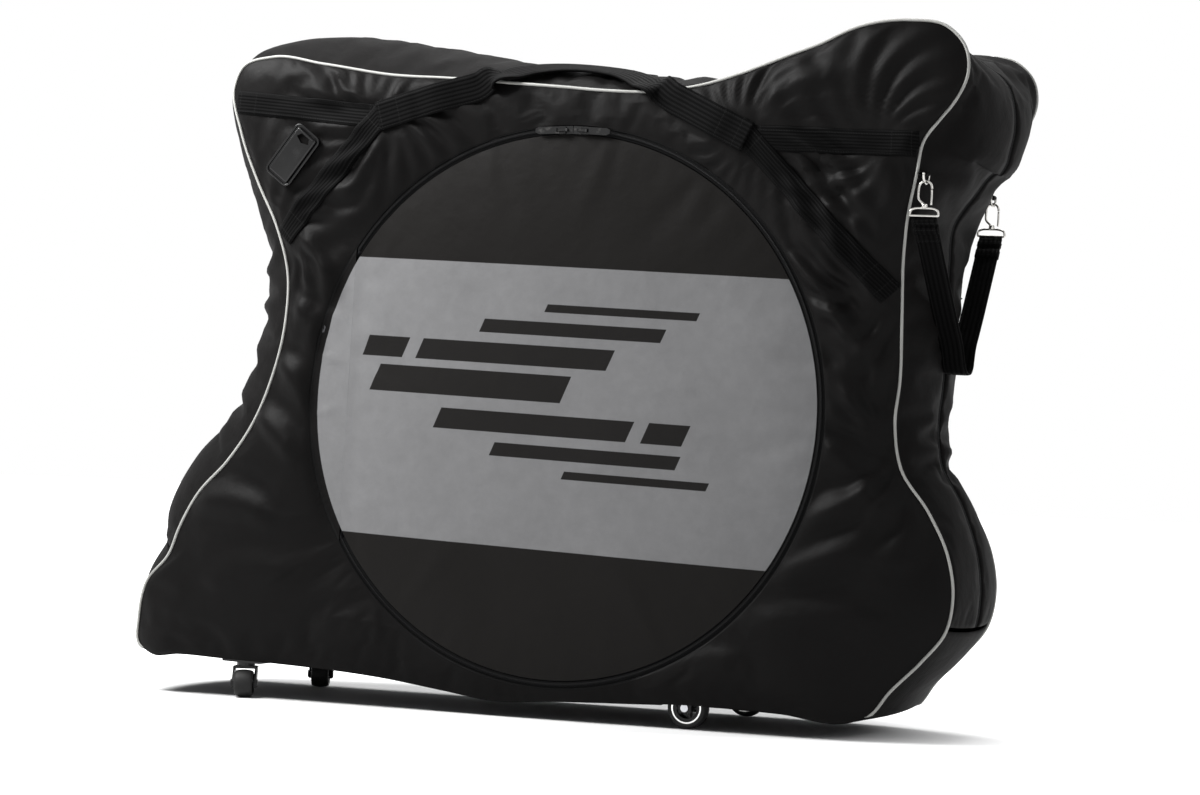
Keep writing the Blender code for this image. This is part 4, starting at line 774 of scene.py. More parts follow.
    @staticmethod
    def mirrored(body: bpy.types.Object) -> bpy.types.Object:
        """Copies a piece to the other side of the bag.

        Args:
            body: the piece.
        Returns:
            The copy, with its own mesh.
        """
        twin = bpy.data.objects.new(body.name, body.data.copy())
        bpy.context.scene.collection.objects.link(twin)
        twin.data.transform(Matrix.Diagonal((1, -1, 1, 1)))
        twin.data.flip_normals()
        return twin

    @staticmethod
    def both(near: bpy.types.Object) -> Iterator[tuple[Side, bpy.types.Object]]:
        """Goes through a near piece and its copy on the far side.

        Args:
            near: the near piece.
        Returns:
            Each side with its piece, in turn.
        """
        far = Bench.mirrored(near)
        yield Side.FRONT, near
        yield Side.REAR, far

    @staticmethod
    def surface(body: bpy.types.Object) -> BVHTree:
        """Reads a sheet's faces, so that places can be found on them.

        Args:
            body: the sheet.
        Returns:
            The tree of its faces.
        """
        data = bmesh.new()
        data.from_mesh(body.data)
        found = BVHTree.FromBMesh(data)
        data.free()
        return found

    @staticmethod
    def close(body: bpy.types.Object, rows: np.ndarray) -> None:
        """Closes the hole in the middle of a round sheet and turns its faces to the near side.

        Args:
            body: the sheet.
            rows: the points that it was made from, each row running inwards.
        """
        count, wide = rows.shape[:2]
        data = bmesh.new()
        data.from_mesh(body.data)
        data.verts.ensure_lookup_table()
        data.faces.new([data.verts[i * wide + wide - 1] for i in range(count)])
        bmesh.ops.recalc_face_normals(data, faces=data.faces)
        if sum(face.normal[1] * face.calc_area() for face in data.faces) > 0:
            bmesh.ops.reverse_faces(data, faces=data.faces)
        data.to_mesh(body.data)
        data.free()

    @staticmethod
    def relax(body: bpy.types.Object, held: Iterable[int], grow: float, press: float, cap: float,
              share: np.ndarray | None = None) -> None:
        """Lets cloth billow and gather between its seams, and keeps the result.

        Args:
            body: the sheet.
            held: vertices that a seam holds.
            grow: spare cloth, as a share.
            press: pressure from inside.
            cap: the furthest that a point may move.
            share: how much of its move each point keeps, or none for all of it.
        """
        before = np.zeros(len(body.data.vertices) * 3)
        body.data.vertices.foreach_get("co", before)
        group = body.vertex_groups.new(name="held")
        group.add(list(held), 1.0, "REPLACE")
        cloth = body.modifiers.new("Cloth", "CLOTH")
        ways = cloth.settings
        ways.quality, ways.mass, ways.air_damping = 5, 0.3, 2.0
        ways.tension_stiffness = ways.compression_stiffness = 18
        ways.shear_stiffness, ways.bending_stiffness = 6, 1.2
        ways.use_pressure, ways.uniform_pressure_force = True, press
        ways.vertex_group_mass, ways.pin_stiffness = "held", 1.0
        ways.shrink_min = -grow
        ways.effector_weights.gravity = 0
        cloth.collision_settings.use_collision = False
        cloth.point_cache.frame_start, cloth.point_cache.frame_end = 1, CLOTH_FRAMES
        for step in range(1, CLOTH_FRAMES + 1):
            bpy.context.scene.frame_set(step)
        shaped = body.evaluated_get(bpy.context.evaluated_depsgraph_get())
        after = np.zeros(len(before))
        shaped.data.vertices.foreach_get("co", after)
        move = (after - before).reshape(-1, 3)
        far = np.linalg.norm(move, axis=1, keepdims=True)
        move *= cap * np.tanh(far / cap) / np.maximum(far, 1e-9)
        if share is not None:
            move *= share[:, None]
        body.modifiers.remove(cloth)
        body.vertex_groups.remove(group)
        body.data.vertices.foreach_set("co", before + move.ravel())
        body.data.update()
        bpy.context.scene.frame_set(1)

    @staticmethod
    def thicken(body: bpy.types.Object, thick: float) -> None:
        """Gives a sheet its thickness, inwards."""
        Bench.apply(body, "SOLIDIFY", thickness=thick, offset=-1, use_even_offset=False)

    @staticmethod
    def deliver(body: bpy.types.Object, name: str, material: bpy.types.Material, rider: str | None,
                slot: str, replaces: Sequence[str] = (), matrix: Matrix = BAG, sharp: float | None = None
                ) -> bpy.types.Object:
        """Places a finished piece, dresses it and hangs it on its body.

        Args:
            body: the piece.
            name: its name.
            material: its finish.
            rider: the body of the part that it moves with, or none for a piece that hangs on no body.
            slot: the part's material slot; not used.
            replaces: nodes that it stands for.
            matrix: from the piece's own frame to the row frame.
            sharp: edges over this angle stay sharp; all are smooth if there is none.
        Returns:
            The piece.
        """
        body.data.transform(matrix)
        body.name = body.data.name = name
        body.data.materials.clear()
        body.data.materials.append(material)
        Bench.take(body)
        if sharp is None:
            bpy.ops.object.shade_smooth()
        else:
            bpy.ops.object.shade_smooth_by_angle(angle=sharp)
        if rider:
            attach(body, rider)
        if replaces:
            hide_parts(*replaces)
        LOG.info("%s: %d faces on %s", name, len(body.data.polygons), rider)
        return body


# The skins

class Outline:
    """The smooth closed outline of a side, with half depths, crowns and outward directions."""

    def __init__(self, facet: float = FACET) -> None:
        """Walks the outline in steps of about one length.

        Args:
            facet: the length of a step.
        """
        knots = np.array(OUTLINE_SHARES) * (LENGTH, HEIGHT, HALF_DEPTH, RISE)
        self.points = self.walk(knots, facet)
        coarse = self.walk(knots, PART_FACET)
        self.count = len(self.points)
        ahead = np.roll(self.points[:, :2], -1, 0) - np.roll(self.points[:, :2], 1, 0)
        outs = np.stack([-ahead[:, 1], ahead[:, 0]], 1)
        self.outs = outs / np.linalg.norm(outs, axis=1, keepdims=True)
        self.low_seam = self.near(*self.coarse_near(coarse, -LENGTH / 2))
        self.tall_seam = self.near(*self.coarse_near(coarse, LENGTH / 2))

    @staticmethod
    def coarse_near(coarse: np.ndarray, x: float) -> np.ndarray:
        """The part's outline corner nearest to the boot's seam at an end."""
        return coarse[np.argmin(np.linalg.norm(coarse[:, :2] - (x, BOOT_HEIGHT), axis=1)), :2]

    @staticmethod
    def walk(knots: np.ndarray, facet: float) -> np.ndarray:
        """Walks a smooth cubic through knots.

        Args:
            knots: the knots of a closed line.
            facet: the length of a step.
        Returns:
            The steps.
        """
        found = []
        for i in range(len(knots)):
            before, start, end, after = (knots[(i + k) % len(knots)] for k in (-1, 0, 1, 2))
            gaps = [np.linalg.norm((b - a)[:2]) for a, b in ((before, start), (start, end), (end, after))]
            ways = [(start - before) / gaps[0], (end - start) / gaps[1], (after - end) / gaps[2]]
            leave = (ways[0] * gaps[1] + ways[1] * gaps[0]) / (gaps[0] + gaps[1]) * gaps[1]
            reach = (ways[1] * gaps[2] + ways[2] * gaps[1]) / (gaps[1] + gaps[2]) * gaps[1]
            steps = max(1, round(gaps[1] / facet))
            for t in np.arange(steps) / steps:
                found.append(start * (2 * t**3 - 3 * t**2 + 1) + leave * (t**3 - 2 * t**2 + t)
                             + end * (3 * t**2 - 2 * t**3) + reach * (t**3 - t**2))
        return np.array(found)

    def near(self, x: float, z: float) -> int:
        """The step nearest to a place."""
        return int(np.argmin(np.linalg.norm(self.points[:, :2] - (x, z), axis=1)))

    def top(self, x: float) -> int:
        """The step on the top edge over a place along the bag."""
        tops = [i for i in range(self.count) if self.points[i, 1] > 0.7 * HEIGHT]
        return min(tops, key=lambda i: abs(self.points[i, 0] - x))

    def skin(self, i: int, across: float, sink: float = 0.0) -> Vector:
        """Finds a point on the gusset or the boot.

        Args:
            i: the step along the outline.
            across: from -1 at the near piping to 1 at the far piping.
            sink: how far it lies under the crown.
        Returns:
            The point.
        """
        point, out = self.points[i % self.count], self.outs[i % self.count]
        half = point[2] - PANEL_THICK - GAP
        rise = point[3] * (1 - abs(across) ** 2.2) - sink
        return Vector((point[0] + out[0] * rise, across * half, point[1] + out[1] * rise))

    def out3(self, i: int) -> Vector:
        """The outward direction in space."""
        return Vector((self.outs[i % self.count][0], 0, self.outs[i % self.count][1]))

    def upright(self, i: int, across: float) -> Vector:
        """Finds the way that the gusset faces.

        Args:
            i: the step along the outline.
            across: from -1 at the near piping to 1 at the far piping.
        Returns:
            The direction.
        """
        over = self.skin(i, across + 0.02) - self.skin(i, across - 0.02)
        normal = over.cross(self.skin(i + 1, across) - self.skin(i - 1, across)).normalized()
        return normal if normal.dot(self.out3(i)) > 0 else -normal


class Creases:
    """Folds and gathers of the padded side."""

    @staticmethod
    def beside(x: np.ndarray, z: np.ndarray, line: Sequence[float]) -> tuple[np.ndarray, np.ndarray, float]:
        """Measures places along and beside a line on the side.

        Args:
            x: places along the bag.
            z: heights.
            line: the line's start and end.
        Returns:
            The share of the line at each place, the distance beside it and the line's length.
        """
        x0, z0, x1, z1 = line
        way = np.array([x1 - x0, z1 - z0])
        long = np.linalg.norm(way)
        way /= long
        share = ((x - x0) * way[0] + (z - z0) * way[1]) / long
        return share, -(x - x0) * way[1] + (z - z0) * way[0], long

    @staticmethod
    def lift(x: np.ndarray, z: np.ndarray) -> np.ndarray:
        """How far the folds stand out at places on the side.

        Args:
            x: places along the bag.
            z: heights.
        Returns:
            The heights of the folds there.
        """
        total = np.zeros_like(x)
        for *line, wide, high in PANEL_FOLDS:
            t, side, long = Creases.beside(x, z, line)
            side = side - 0.10 * long * np.sin(pi * np.clip(t, 0, 1))
            fade = np.clip(np.minimum(t, 1 - t) * 4 + 0.3, 0, 1) * ((t > -0.08) & (t < 1.08))
            ridge = np.exp(-(side / wide) ** 2) - 0.55 * np.exp(-((side - 2 * wide) / wide) ** 2)
            total += FOLD_DEEP * high * fade * ridge
        for number, (cx, cz, ridges, reach, high) in enumerate(PANEL_GATHERS):
            off_x, off_z = x - cx, z - cz
            far = np.hypot(off_x, off_z)
            angle = np.arctan2(off_z, off_x)
            wave = np.cos(ridges * angle + 1.7 * number + 5 * far / reach)
            wave = wave * (0.6 + 0.4 * np.cos(3 * angle + number))
            broad = np.clip((2 * pi * far / ridges - 0.012) / 0.014, 0, 1)
            total += FOLD_DEEP * high * wave * broad * (far / reach) * np.exp(1 - far / reach)
        return total * (1 - 0.9 * np.exp(-((x - TAG[0]) ** 2 + (z - TAG[1]) ** 2) / TAG_REACH**2))

    @staticmethod
    def dents(x: np.ndarray, z: np.ndarray) -> np.ndarray:
        """Soft dents that run over the round door and its sewn edge.

        Args:
            x: places along the bag.
            z: heights.
        Returns:
            The heights of the dents there.
        """
        total = np.zeros_like(x)
        for *line, wide, high in DOOR_DENTS:
            t, side, _ = Creases.beside(x, z, line)
            t = np.clip(t, -0.2, 1.2)
            spread = wide * (0.35 + 0.65 * np.clip(t, 0, 1))
            total += high * np.sin(pi * np.clip(0.18 + 0.68 * t, 0, 1)) * np.exp(-(side / spread) ** 2)
        return total * (1 - np.exp(-((x - POCKET[0] + DOOR_SEAM) / 0.024) ** 2))

    @staticmethod
    def crown(o: "Outline", i: int, across: float) -> float:
        """How far the crown's cloth stands out: it bunches where the outline bends inwards.

        Args:
            o: the outline.
            i: the step along it.
            across: the share from the middle to the piping.
        Returns:
            The height of its folds.
        """
        ahead, behind = o.outs[(i + 6) % o.count], o.outs[(i - 6) % o.count]
        turn = float(behind[0] * ahead[1] - behind[1] * ahead[0])
        bunched = min(1.0, max(0.0, turn / 0.22)) + 0.22
        run = i * FACET
        wave = sin(run * 2 * pi / 0.064 + 2.2 * across + sin(run * 9))
        wave += 0.6 * sin(run * 2 * pi / 0.037 - 3 * across)
        shape = (1 - abs(across) ** 3) * (0.55 + 0.45 * cos(5 * across + run * 7))
        return 0.0031 * bunched * wave * shape


@dataclass
class PaddedSides:
    """Side panels with their piping."""

    outline: Outline
    finishes: Finishes
    columns: int = 48
    bulge: float = 0.011
    welt: float = 0.0019
    tuck: float = 0.0034
    skin: BVHTree | None = field(default=None, init=False)

    def grid(self) -> np.ndarray:
        """Points of the near panel from the pocket's edge out to the piping."""
        o = self.outline
        rim = o.points[:, :2] - o.outs * 0.0012
        middle = np.array(POCKET)
        towards = rim - middle
        long = np.linalg.norm(towards, axis=1, keepdims=True)
        towards = towards / long
        reach = np.full(o.count, POCKET_RADIUS + 0.0001)
        left = -towards[:, 0] * reach > DOOR_SEAM + SEAM_GAP
        reach[left] = (DOOR_SEAM + SEAM_GAP) / -towards[left, 0]
        hole = middle + towards * reach[:, None]
        t = np.linspace(0, 1, self.columns)[None, :, None]
        flat = hole[:, None, :] * (1 - t) + rim[:, None, :] * t
        span = np.linalg.norm(rim - hole, axis=1)[:, None]
        t = t[..., 0]
        depth = POCKET_HALF_DEPTH * (1 - t) + o.points[:, 2][:, None] * t
        full = self.bulge * np.clip(span / 0.13, 0.25, 1)
        beyond = np.clip(np.linalg.norm(flat - middle, axis=2) - POCKET_RADIUS, 0, None)
        away = (1 - t) * span
        corner_high = sqrt(POCKET_RADIUS**2 - DOOR_SEAM**2)
        corner = np.hypot(flat[..., 0] - POCKET[0] + DOOR_SEAM,
                          np.abs(flat[..., 1] - POCKET[1]) - corner_high)
        full = full * (1 - np.exp(-(corner / 0.045) ** 2))
        depth = depth + full * (1 - np.exp(-beyond / 0.022)) * (1 - np.exp(-away / 0.020))
        fold = Creases.lift(flat[..., 0], flat[..., 1])
        ease = (1 - np.exp(-beyond / 0.008)) * (1 - np.exp(-away / 0.010))
        ease = ease * (1 - np.exp(-(corner / 0.03) ** 2))
        dents = np.maximum(Creases.dents(flat[..., 0], flat[..., 1]), -0.0008)
        depth = depth + fold * ease + dents * np.exp(-beyond / 0.01) * (1 - np.exp(-away / 0.006))
        return np.stack([flat[..., 0], -depth, flat[..., 1]], 2)

    def held(self, rows: np.ndarray) -> list[int]:
        """Finds the points held by the seams, the piping and the webbing sewn on the panel.

        Args:
            rows: the panel's points.
        Returns:
            Their numbers.
        """
        wide = rows.shape[1]
        kept = [i * wide + j for i in range(len(rows)) for j in (0, wide - 1)]
        flat = rows.reshape(-1, 3)[:, (0, 2)]
        for knot, key in ((LOW_KNOT, "low"), (TALL_KNOT, "tall")):
            for end in YOKE_ENDS[key]:
                way = np.array(end - knot)
                long = np.linalg.norm(way)
                way /= long
                off = flat - np.array(knot)
                t, side = off @ way, off @ np.array([-way[1], way[0]])
                under = (t > -0.01) & (t < long) & (np.abs(side) < YOKE_WIDE * 0.45)
                kept += np.nonzero(under)[0].tolist()
        return kept

    def build(self) -> None:
        """Makes both panels and both runs of piping."""
        rows = self.grid()
        near = Bench.cloth(rows, Vector((0, -1, 0)), ring=True)
        beyond = np.linalg.norm(rows.reshape(-1, 3)[:, (0, 2)] - np.array(POCKET), axis=1) - POCKET_RADIUS
        share = 1 - np.exp(-np.clip(beyond, 0, None) / 0.007)
        Bench.relax(near, self.held(rows), 0.006, 3.0, 0.008, share)
        self.skin = Bench.surface(near)
        Bench.thicken(near, PANEL_THICK)
        for side, body in Bench.both(near):
            name = side.title
            panel = Bench.deliver(body, f"{name}_padded_panel", self.finishes["panel_nylon"],
                                  f"{name}_side", "nylon", [f"{name}_panel"], sharp=CREASED)
            self.piping(side)

    def piping(self, side: Side) -> None:
        """Makes the welt round a side.

        Args:
            side: the side.
        """
        ring = [(cos(a), sin(a)) for a in np.linspace(0, 2 * pi, 10, endpoint=False)]
        tube = []
        for point, out in zip(self.outline.points, self.outline.outs):
            under = min(1.0, max(0.0, (-out[1] - 0.75) / 0.15))
            x, z = point[:2] - out * self.tuck * under
            deep = side.value * (point[2] - 1.4 * self.tuck * under)
            tube.append([(x + out[0] * self.welt * c, deep + self.welt * s, z + out[1] * self.welt * c)
                         for c, s in ring])
        body = Bench.cloth(np.array(tube), None, ring=True, across=True)
        Bench.edit(body, None, lambda: bpy.ops.mesh.normals_make_consistent(inside=False))
        Bench.deliver(body, f"{side.title}_welt", self.finishes["piping_finish"], f"{side.title}_side",
                      "piping", [f"{side.title}_piping"])

    def face(self, x: float, z: float, lift: float) -> Vector:
        """Finds a point off the near panel's face.

        Args:
            x: its place along the bag.
            z: its height.
            lift: how far it stands off.
        Returns:
            The point.
        """
        hit = self.skin.ray_cast(Vector((x, -0.4, z)), Vector((0, 1, 0)))
        depth = hit[0][1] if hit[0] is not None else -POCKET_HALF_DEPTH
        return Vector((x, depth - lift, z))


@dataclass
class Gussets:
    """The crowned strip between the two sides, in halves, and the main zip along its middle."""

    outline: Outline
    finishes: Finishes
    columns: int = 20
    skin: BVHTree | None = field(default=None, init=False)

    def build(self) -> None:
        """Makes both halves of the gusset and of the zip's chain."""
        o = self.outline
        places = list(range(o.low_seam - o.count + 1, o.tall_seam))
        rows, tape = [], []
        for i in places:
            half = o.points[i % o.count][2] - PANEL_THICK - GAP
            edge = 0.0064 / half
            shares = edge + (1 - edge) * np.linspace(1, 0, self.columns) ** 0.8
            row = [o.skin(i, -a) + o.out3(i) * Creases.crown(o, i, a) * min(1, (a - edge) * 8)
                   for a in shares]
            rim = o.points[i % o.count]
            row.insert(0, Vector((rim[0], -(rim[2] - 0.0008), rim[1])) - o.out3(i) * 0.0006)
            rows.append(row)
            tape.append([o.skin(i, -a / half, 0.0012 - high) for a, high in MAIN_ZIP_PROFILE])
        rows = np.array(rows)
        near = Bench.cloth(rows, None)
        wide = rows.shape[1]
        held = [i * wide + j for i in range(len(rows)) for j in (0, 1, wide - 1)]
        held += list(range(wide)) + [(len(rows) - 1) * wide + j for j in range(wide)]
        Bench.relax(near, held, 0.012, 2.0, 0.008)
        self.skin = Bench.surface(near)
        Bench.thicken(near, 0.0026)
        chain = Bench.cloth(np.array(tape), None)
        Bench.thicken(chain, 0.0012)
        for (side, body), (_, strip) in zip(Bench.both(near), Bench.both(chain)):
            name = side.title
            piece = Bench.deliver(body, f"{name}_crown", self.finishes["gusset_nylon"], f"{name}_side",
                                  "nylon", [f"{name}_gusset"])
            Bench.deliver(strip, f"{name}_main_zip", self.finishes["main_zip_finish"], f"{name}_side", "zip",
                          [f"{name}_main_zip_chain"])


@dataclass
class Boot:
    """The lower tub, open over each fixed wheel."""

    outline: Outline
    finishes: Finishes

    def build(self) -> None:
        """Makes the tub."""
        o = self.outline
        shares = np.concatenate([[-1, -0.985, -0.95], np.linspace(-0.9, 0.9, 37), [0.95, 0.985, 1]])
        rows = np.array([[o.skin(i, a) for a in shares] for i in range(o.tall_seam, o.low_seam + 1)])
        inner = WHEEL_Y - 0.010 - 0.0025 - 0.0045

        def over_wheel(middle: Vector) -> bool:
            """Whether a place is in a fixed wheel's well."""
            return abs(middle[0] - FIXED_X) < 0.031 and abs(middle[1]) > inner and middle[2] < 0.026
        body = Bench.cloth(rows, Vector((0, 0, -1)), drop=over_wheel)
        Bench.thicken(body, 0.0028)
        piece = Bench.deliver(body, "lower_tub", self.finishes["gusset_nylon"], "base", "nylon",
                              ["base_boot"])


@dataclass
class WheelPockets:
    """Round pocket on each side: liner, zip and printed door."""

    finishes: Finishes
    dome: float = 0.0075

    def door(self) -> bpy.types.Object:
        """The near door, straight at its sewn seam."""
        rim = POCKET_RADIUS - GAP - ZIP_WIDE - 0.0009
        half_arc = pi - asin(sqrt(1 - (DOOR_SEAM / rim) ** 2))
        arc = [(rim * cos(a), rim * sin(a)) for a in np.linspace(-half_arc, half_arc, 220)]
        chord = [(-DOOR_SEAM, z) for z in np.linspace(arc[-1][1], arc[0][1], 40)[1:-1]]
        core = np.array([rim / 20, 0])
        edge = np.array(arc + chord) - core
        shares = np.linspace(1, 0.012, 46)[None, :, None]
        flat = core + edge[:, None, :] * shares
        s = shares[..., 0]
        radial = np.hypot(flat[..., 0], flat[..., 1])
        x, z = flat[..., 0], flat[..., 1]
        waves = (0.0009 * np.sin(17 * x + 9 * z + 1) + 0.0007 * np.sin(31 * z - 12 * x) * np.cos(9 * x + 2)
                 + 0.0005 * np.sin(46 * x + 20 * z + 0.4))
        angle = np.arctan2(z, x)
        tug = 0.0010 * np.cos(24 * angle + 3 * np.cos(5 * angle)) * np.exp(-(rim - radial) / 0.02)
        flush = 1 - np.exp(-((x + DOOR_SEAM) / 0.07) ** 2)
        off_rim, off_seam = 1 - np.exp(-(1 - s) * rim / 0.02), 1 - np.exp(-((x + DOOR_SEAM) / 0.03) ** 2)
        depth = POCKET_HALF_DEPTH + self.dome * (1 - s**2.4) * flush + (waves + tug) * off_rim * off_seam
        inside = 1 - np.exp(-np.clip(rim - radial, 0, None) / 0.010)
        depth = depth + Creases.dents(POCKET[0] + x, POCKET[1] + z) * inside
        rows = np.stack([POCKET[0] + x, -depth, POCKET[1] + z], 2)
        body = Bench.cloth(rows, Vector((0, -1, 0)), ring=True)
        wide = rows.shape[1]
        level = np.nonzero(rows[..., 0].ravel() < POCKET[0] - DOOR_SEAM + 0.02)[0].tolist()
        Bench.relax(body, [i * wide for i in range(len(rows))] + level, 0.0015, 1.0, 0.004)
        Bench.close(body, rows)
        Bench.thicken(body, 0.0028)
        return body

    def chain(self) -> bpy.types.Object:
        """The near zip round the door."""
        outer = POCKET_RADIUS - GAP
        reach = pi - asin(sqrt(1 - ((DOOR_SEAM + 2 * GAP) / outer) ** 2)) - 4 * GAP / outer
        rows = [[(POCKET[0] + (outer - off) * cos(a), -(POCKET_HALF_DEPTH - 0.0006 + high),
                  POCKET[1] + (outer - off) * sin(a)) for off, high in POCKET_ZIP_PROFILE]
                for a in np.linspace(-reach, reach, 300)]
        body = Bench.cloth(np.array(rows), Vector((0, -1, 0)))
        Bench.thicken(body, 0.0014)
        return body

    def liner(self) -> bpy.types.Object:
        """The near pocket's fabric bowl."""
        wall, back = POCKET_RADIUS - 0.0045, POCKET_HALF_DEPTH - POCKET_DEEP
        behind = POCKET_HALF_DEPTH - PANEL_THICK - GAP - 0.001
        profile = [(POCKET_RADIUS - GAP, behind), (wall + 0.001, behind), (wall, behind - 0.004)]
        profile += [(wall - 0.0005, back + (behind - back) * t) for t in (0.8, 0.6, 0.4, 0.25)]
        turn = 0.012
        profile += [(wall - turn * (1 - cos(a)), back + turn * (1 - sin(a)))
                    for a in np.linspace(0, pi / 2, 6)]
        profile += [((wall - turn) * t, back) for t in np.linspace(0.95, 0.004, 26)]
        rows = []
        for a in np.linspace(0, 2 * pi, 144, endpoint=False):
            row = []
            for radius, depth in profile:
                ruck = 0.0012 * cos(26 * a + 3 * sin(4 * a)) * min(1, radius / 0.3) if radius < wall else 0
                calm = min(1.0, radius / 0.12) ** 2 * (radius < wall - 0.02)
                depth_here = depth + 0.0015 * sin(40 * radius + 3 * sin(2 * a)) * calm
                here = radius - abs(ruck)
                row.append((POCKET[0] + here * cos(a), -depth_here, POCKET[1] + here * sin(a)))
            rows.append(row)
        rows = np.array(rows)
        body = Bench.cloth(rows, Vector((0, -1, 0)), ring=True)
        Bench.close(body, rows)
        Bench.thicken(body, 0.0016)
        return body

    def build(self) -> None:
        """Makes the pockets of both sides."""
        for make, piece, rider, slot, finish, node in (
                (self.door, "round_door", "door", "nylon_grey", "panel_nylon", "pocket_door"),
                (self.chain, "round_zip", "side", "zip", "pocket_zip_finish", "pocket_zip_chain"),
                (self.liner, "pocket_bowl", "side", "lining", "lining_finish", "pocket_liner")):
            for side, body in Bench.both(make()):
                name = side.title
                done = Bench.deliver(body, f"{name}_{piece}", self.finishes[finish], f"{name}_{rider}", slot,
                                     [f"{name}_{node}"], sharp=CREASED)
                if piece == "round_door":
                    done.data.materials.append(self.finishes["lining_finish"])
                    for face in done.data.polygons:
                        face.material_index = int(face.normal[1] * side.value < -0.3)


@dataclass
class Straps:
    """Yokes sewn on the panels and the loose carry handles."""

    outline: Outline
    sides: PaddedSides
    crown: Gussets
    finishes: Finishes
    reach: dict[str, tuple[float, float]] = field(default_factory=lambda: {
        "low": (0.003, 0.002), "tall": (0.036, 0.014)})
    clear: float = 0.0042

    @staticmethod
    def ribbon(points: Sequence[Vector], normals: Sequence[Vector], width: float,
               thick: float) -> bpy.types.Object:
        """Flat webbing with rounded edges along a path.

        Args:
            points: the middle of its underside.
            normals: the way its face looks.
            width: its width.
            thick: its thickness.
        Returns:
            The strap.
        """
        rows = []
        for i, (point, normal) in enumerate(zip(points, normals)):
            along = (points[min(i + 1, len(points) - 1)] - points[max(i - 1, 0)]).normalized()
            across = normal.cross(along).normalized()
            up = along.cross(across).normalized()
            up = up if up.dot(normal) > 0 else -up
            rows.append([point + across * width * s + up * (thick * (1 - 0.7 * abs(2 * s) ** 8) * 0.55)
                         for s in np.linspace(-0.5, 0.5, 13)])
        body = Bench.cloth(np.array(rows), sum(normals, Vector()) / len(normals))
        Bench.thicken(body, thick * 0.9)
        return body

    def yoke(self, start: Vector, end: Vector, lift: float, out: float = 0.0) -> bpy.types.Object:
        """Webbing sewn flat on the near panel.

        Args:
            start: its start on the side.
            end: its end on the side.
            lift: its height off the panel.
            out: more height at its start.
        Returns:
            The strap.
        """
        count = max(8, round((end - start).length / 0.004))
        across = (end - start).normalized().orthogonal() * YOKE_WIDE
        grid = np.zeros((count + 1, 11, 3))
        for k in range(count + 1):
            for j, s in enumerate(np.linspace(-0.5, 0.5, 11)):
                spot = start.lerp(end, k / count) + across * s
                edge = 0.0007 * abs(2 * s) ** 8
                grid[k, j] = self.sides.face(*spot, lift + out * (1 - k / count) ** 2 - edge)
        depth = grid[..., 1]
        for _ in range(2):
            depth[1:-1] = np.minimum(depth[1:-1], (depth[:-2] + depth[1:-1] * 2 + depth[2:]) / 4)
        body = Bench.cloth(grid, Vector((0, -1, 0)))
        Bench.thicken(body, 0.0016)
        return body

    def yokes(self) -> None:
        """Makes the four pairs of sewn straps."""
        for knot, key in ((LOW_KNOT, "low"), (TALL_KNOT, "tall")):
            for number, end in enumerate(YOKE_ENDS[key]):
                way = (end - knot).normalized()
                end = end + way * self.reach[key][number]
                start = knot - way * YOKE_WIDE * (0.5 if number == 0 else 0.62)
                near = self.yoke(start, end, 0.0018 + 0.0010 * number)
                finish = Webbing(f"{key}_yoke_{number}_webbing", YOKE_WIDE, (end - start).length).build()
                for side, body in Bench.both(near):
                    nodes = [f"{side.title}_{key}_yoke"] if number == 0 else []
                    Bench.deliver(body, f"{side.title}_{key}_strap_{number}", finish, f"{side.title}_side",
                                  "webbing", nodes)

    def trail(self) -> tuple[list[Vector], list[Vector]]:
        """The near handle's line: over the panel, the piping and the crown, and back."""
        o = self.outline
        cross = [o.top(share * LENGTH) for share in HANDLE_CROSS_SHARES]

        def leg(knot: Vector, place: int, way: int) -> list[tuple[Vector, Vector]]:
            """Runs from a knot over the piping, slanting along the outline.

            Args:
                knot: the knot.
                place: the step of the outline that it crosses.
                way: 1 or -1, along the outline or against it.
            Returns:
                Points and the ways they face.
            """
            point, out = o.points[place], o.out3(place)
            edge = Vector((point[0], point[1])) - Vector((out[0], out[2])) * 0.0092
            outwards = Vector((0, -1, 0))
            found = []
            for t in (0.0, 0.2, 0.4, 0.6, 0.8, 1.0):
                found.append((self.sides.face(*knot.lerp(edge, t), 0.0048), outwards.copy()))
            for step, out_share, clear in ((2, 0.25, 0.0056), (3, 1.0, 0.0066), (5, 4.0, 0.0082)):
                point, out = o.points[place + step * way], o.out3(place + step * way)
                facing = (outwards + out * out_share).normalized()
                found.append((Vector((point[0], -point[2], point[1])) + facing * clear, facing))
            return found
        path = leg(LOW_KNOT, cross[0], 1)
        for share, nearness in HANDLE_LIE_SHARES:
            i = round(cross[0] + 6 + (cross[1] - cross[0] - 12) * share)
            up = o.upright(i, -nearness)
            path.append((o.skin(i, -nearness) + up * 0.0095, up))
        path += reversed(leg(TALL_KNOT, cross[1], -1))
        points, normals = [p for p, _ in path], [n for _, n in path]
        return self.rounded(points, 6), [n.normalized() for n in self.rounded(normals, 6)]

    @staticmethod
    def rounded(points: Sequence[Vector], steps: int) -> list[Vector]:
        """Rounds a line through points.

        Args:
            points: the points.
            steps: steps between two of them.
        Returns:
            The smooth line.
        """
        found = []
        last = len(points) - 1
        for i in range(last):
            before, start = points[max(i - 1, 0)], points[i]
            end, after = points[i + 1], points[min(i + 2, last)]
            for k in range(steps):
                t = k / steps
                curve = (2 * before - 5 * start + 4 * end - after) * t**2
                found.append(0.5 * (2 * start + (end - before) * t + curve
                                    + (3 * start - before - 3 * end + after) * t**3))
        return found + [points[-1]]

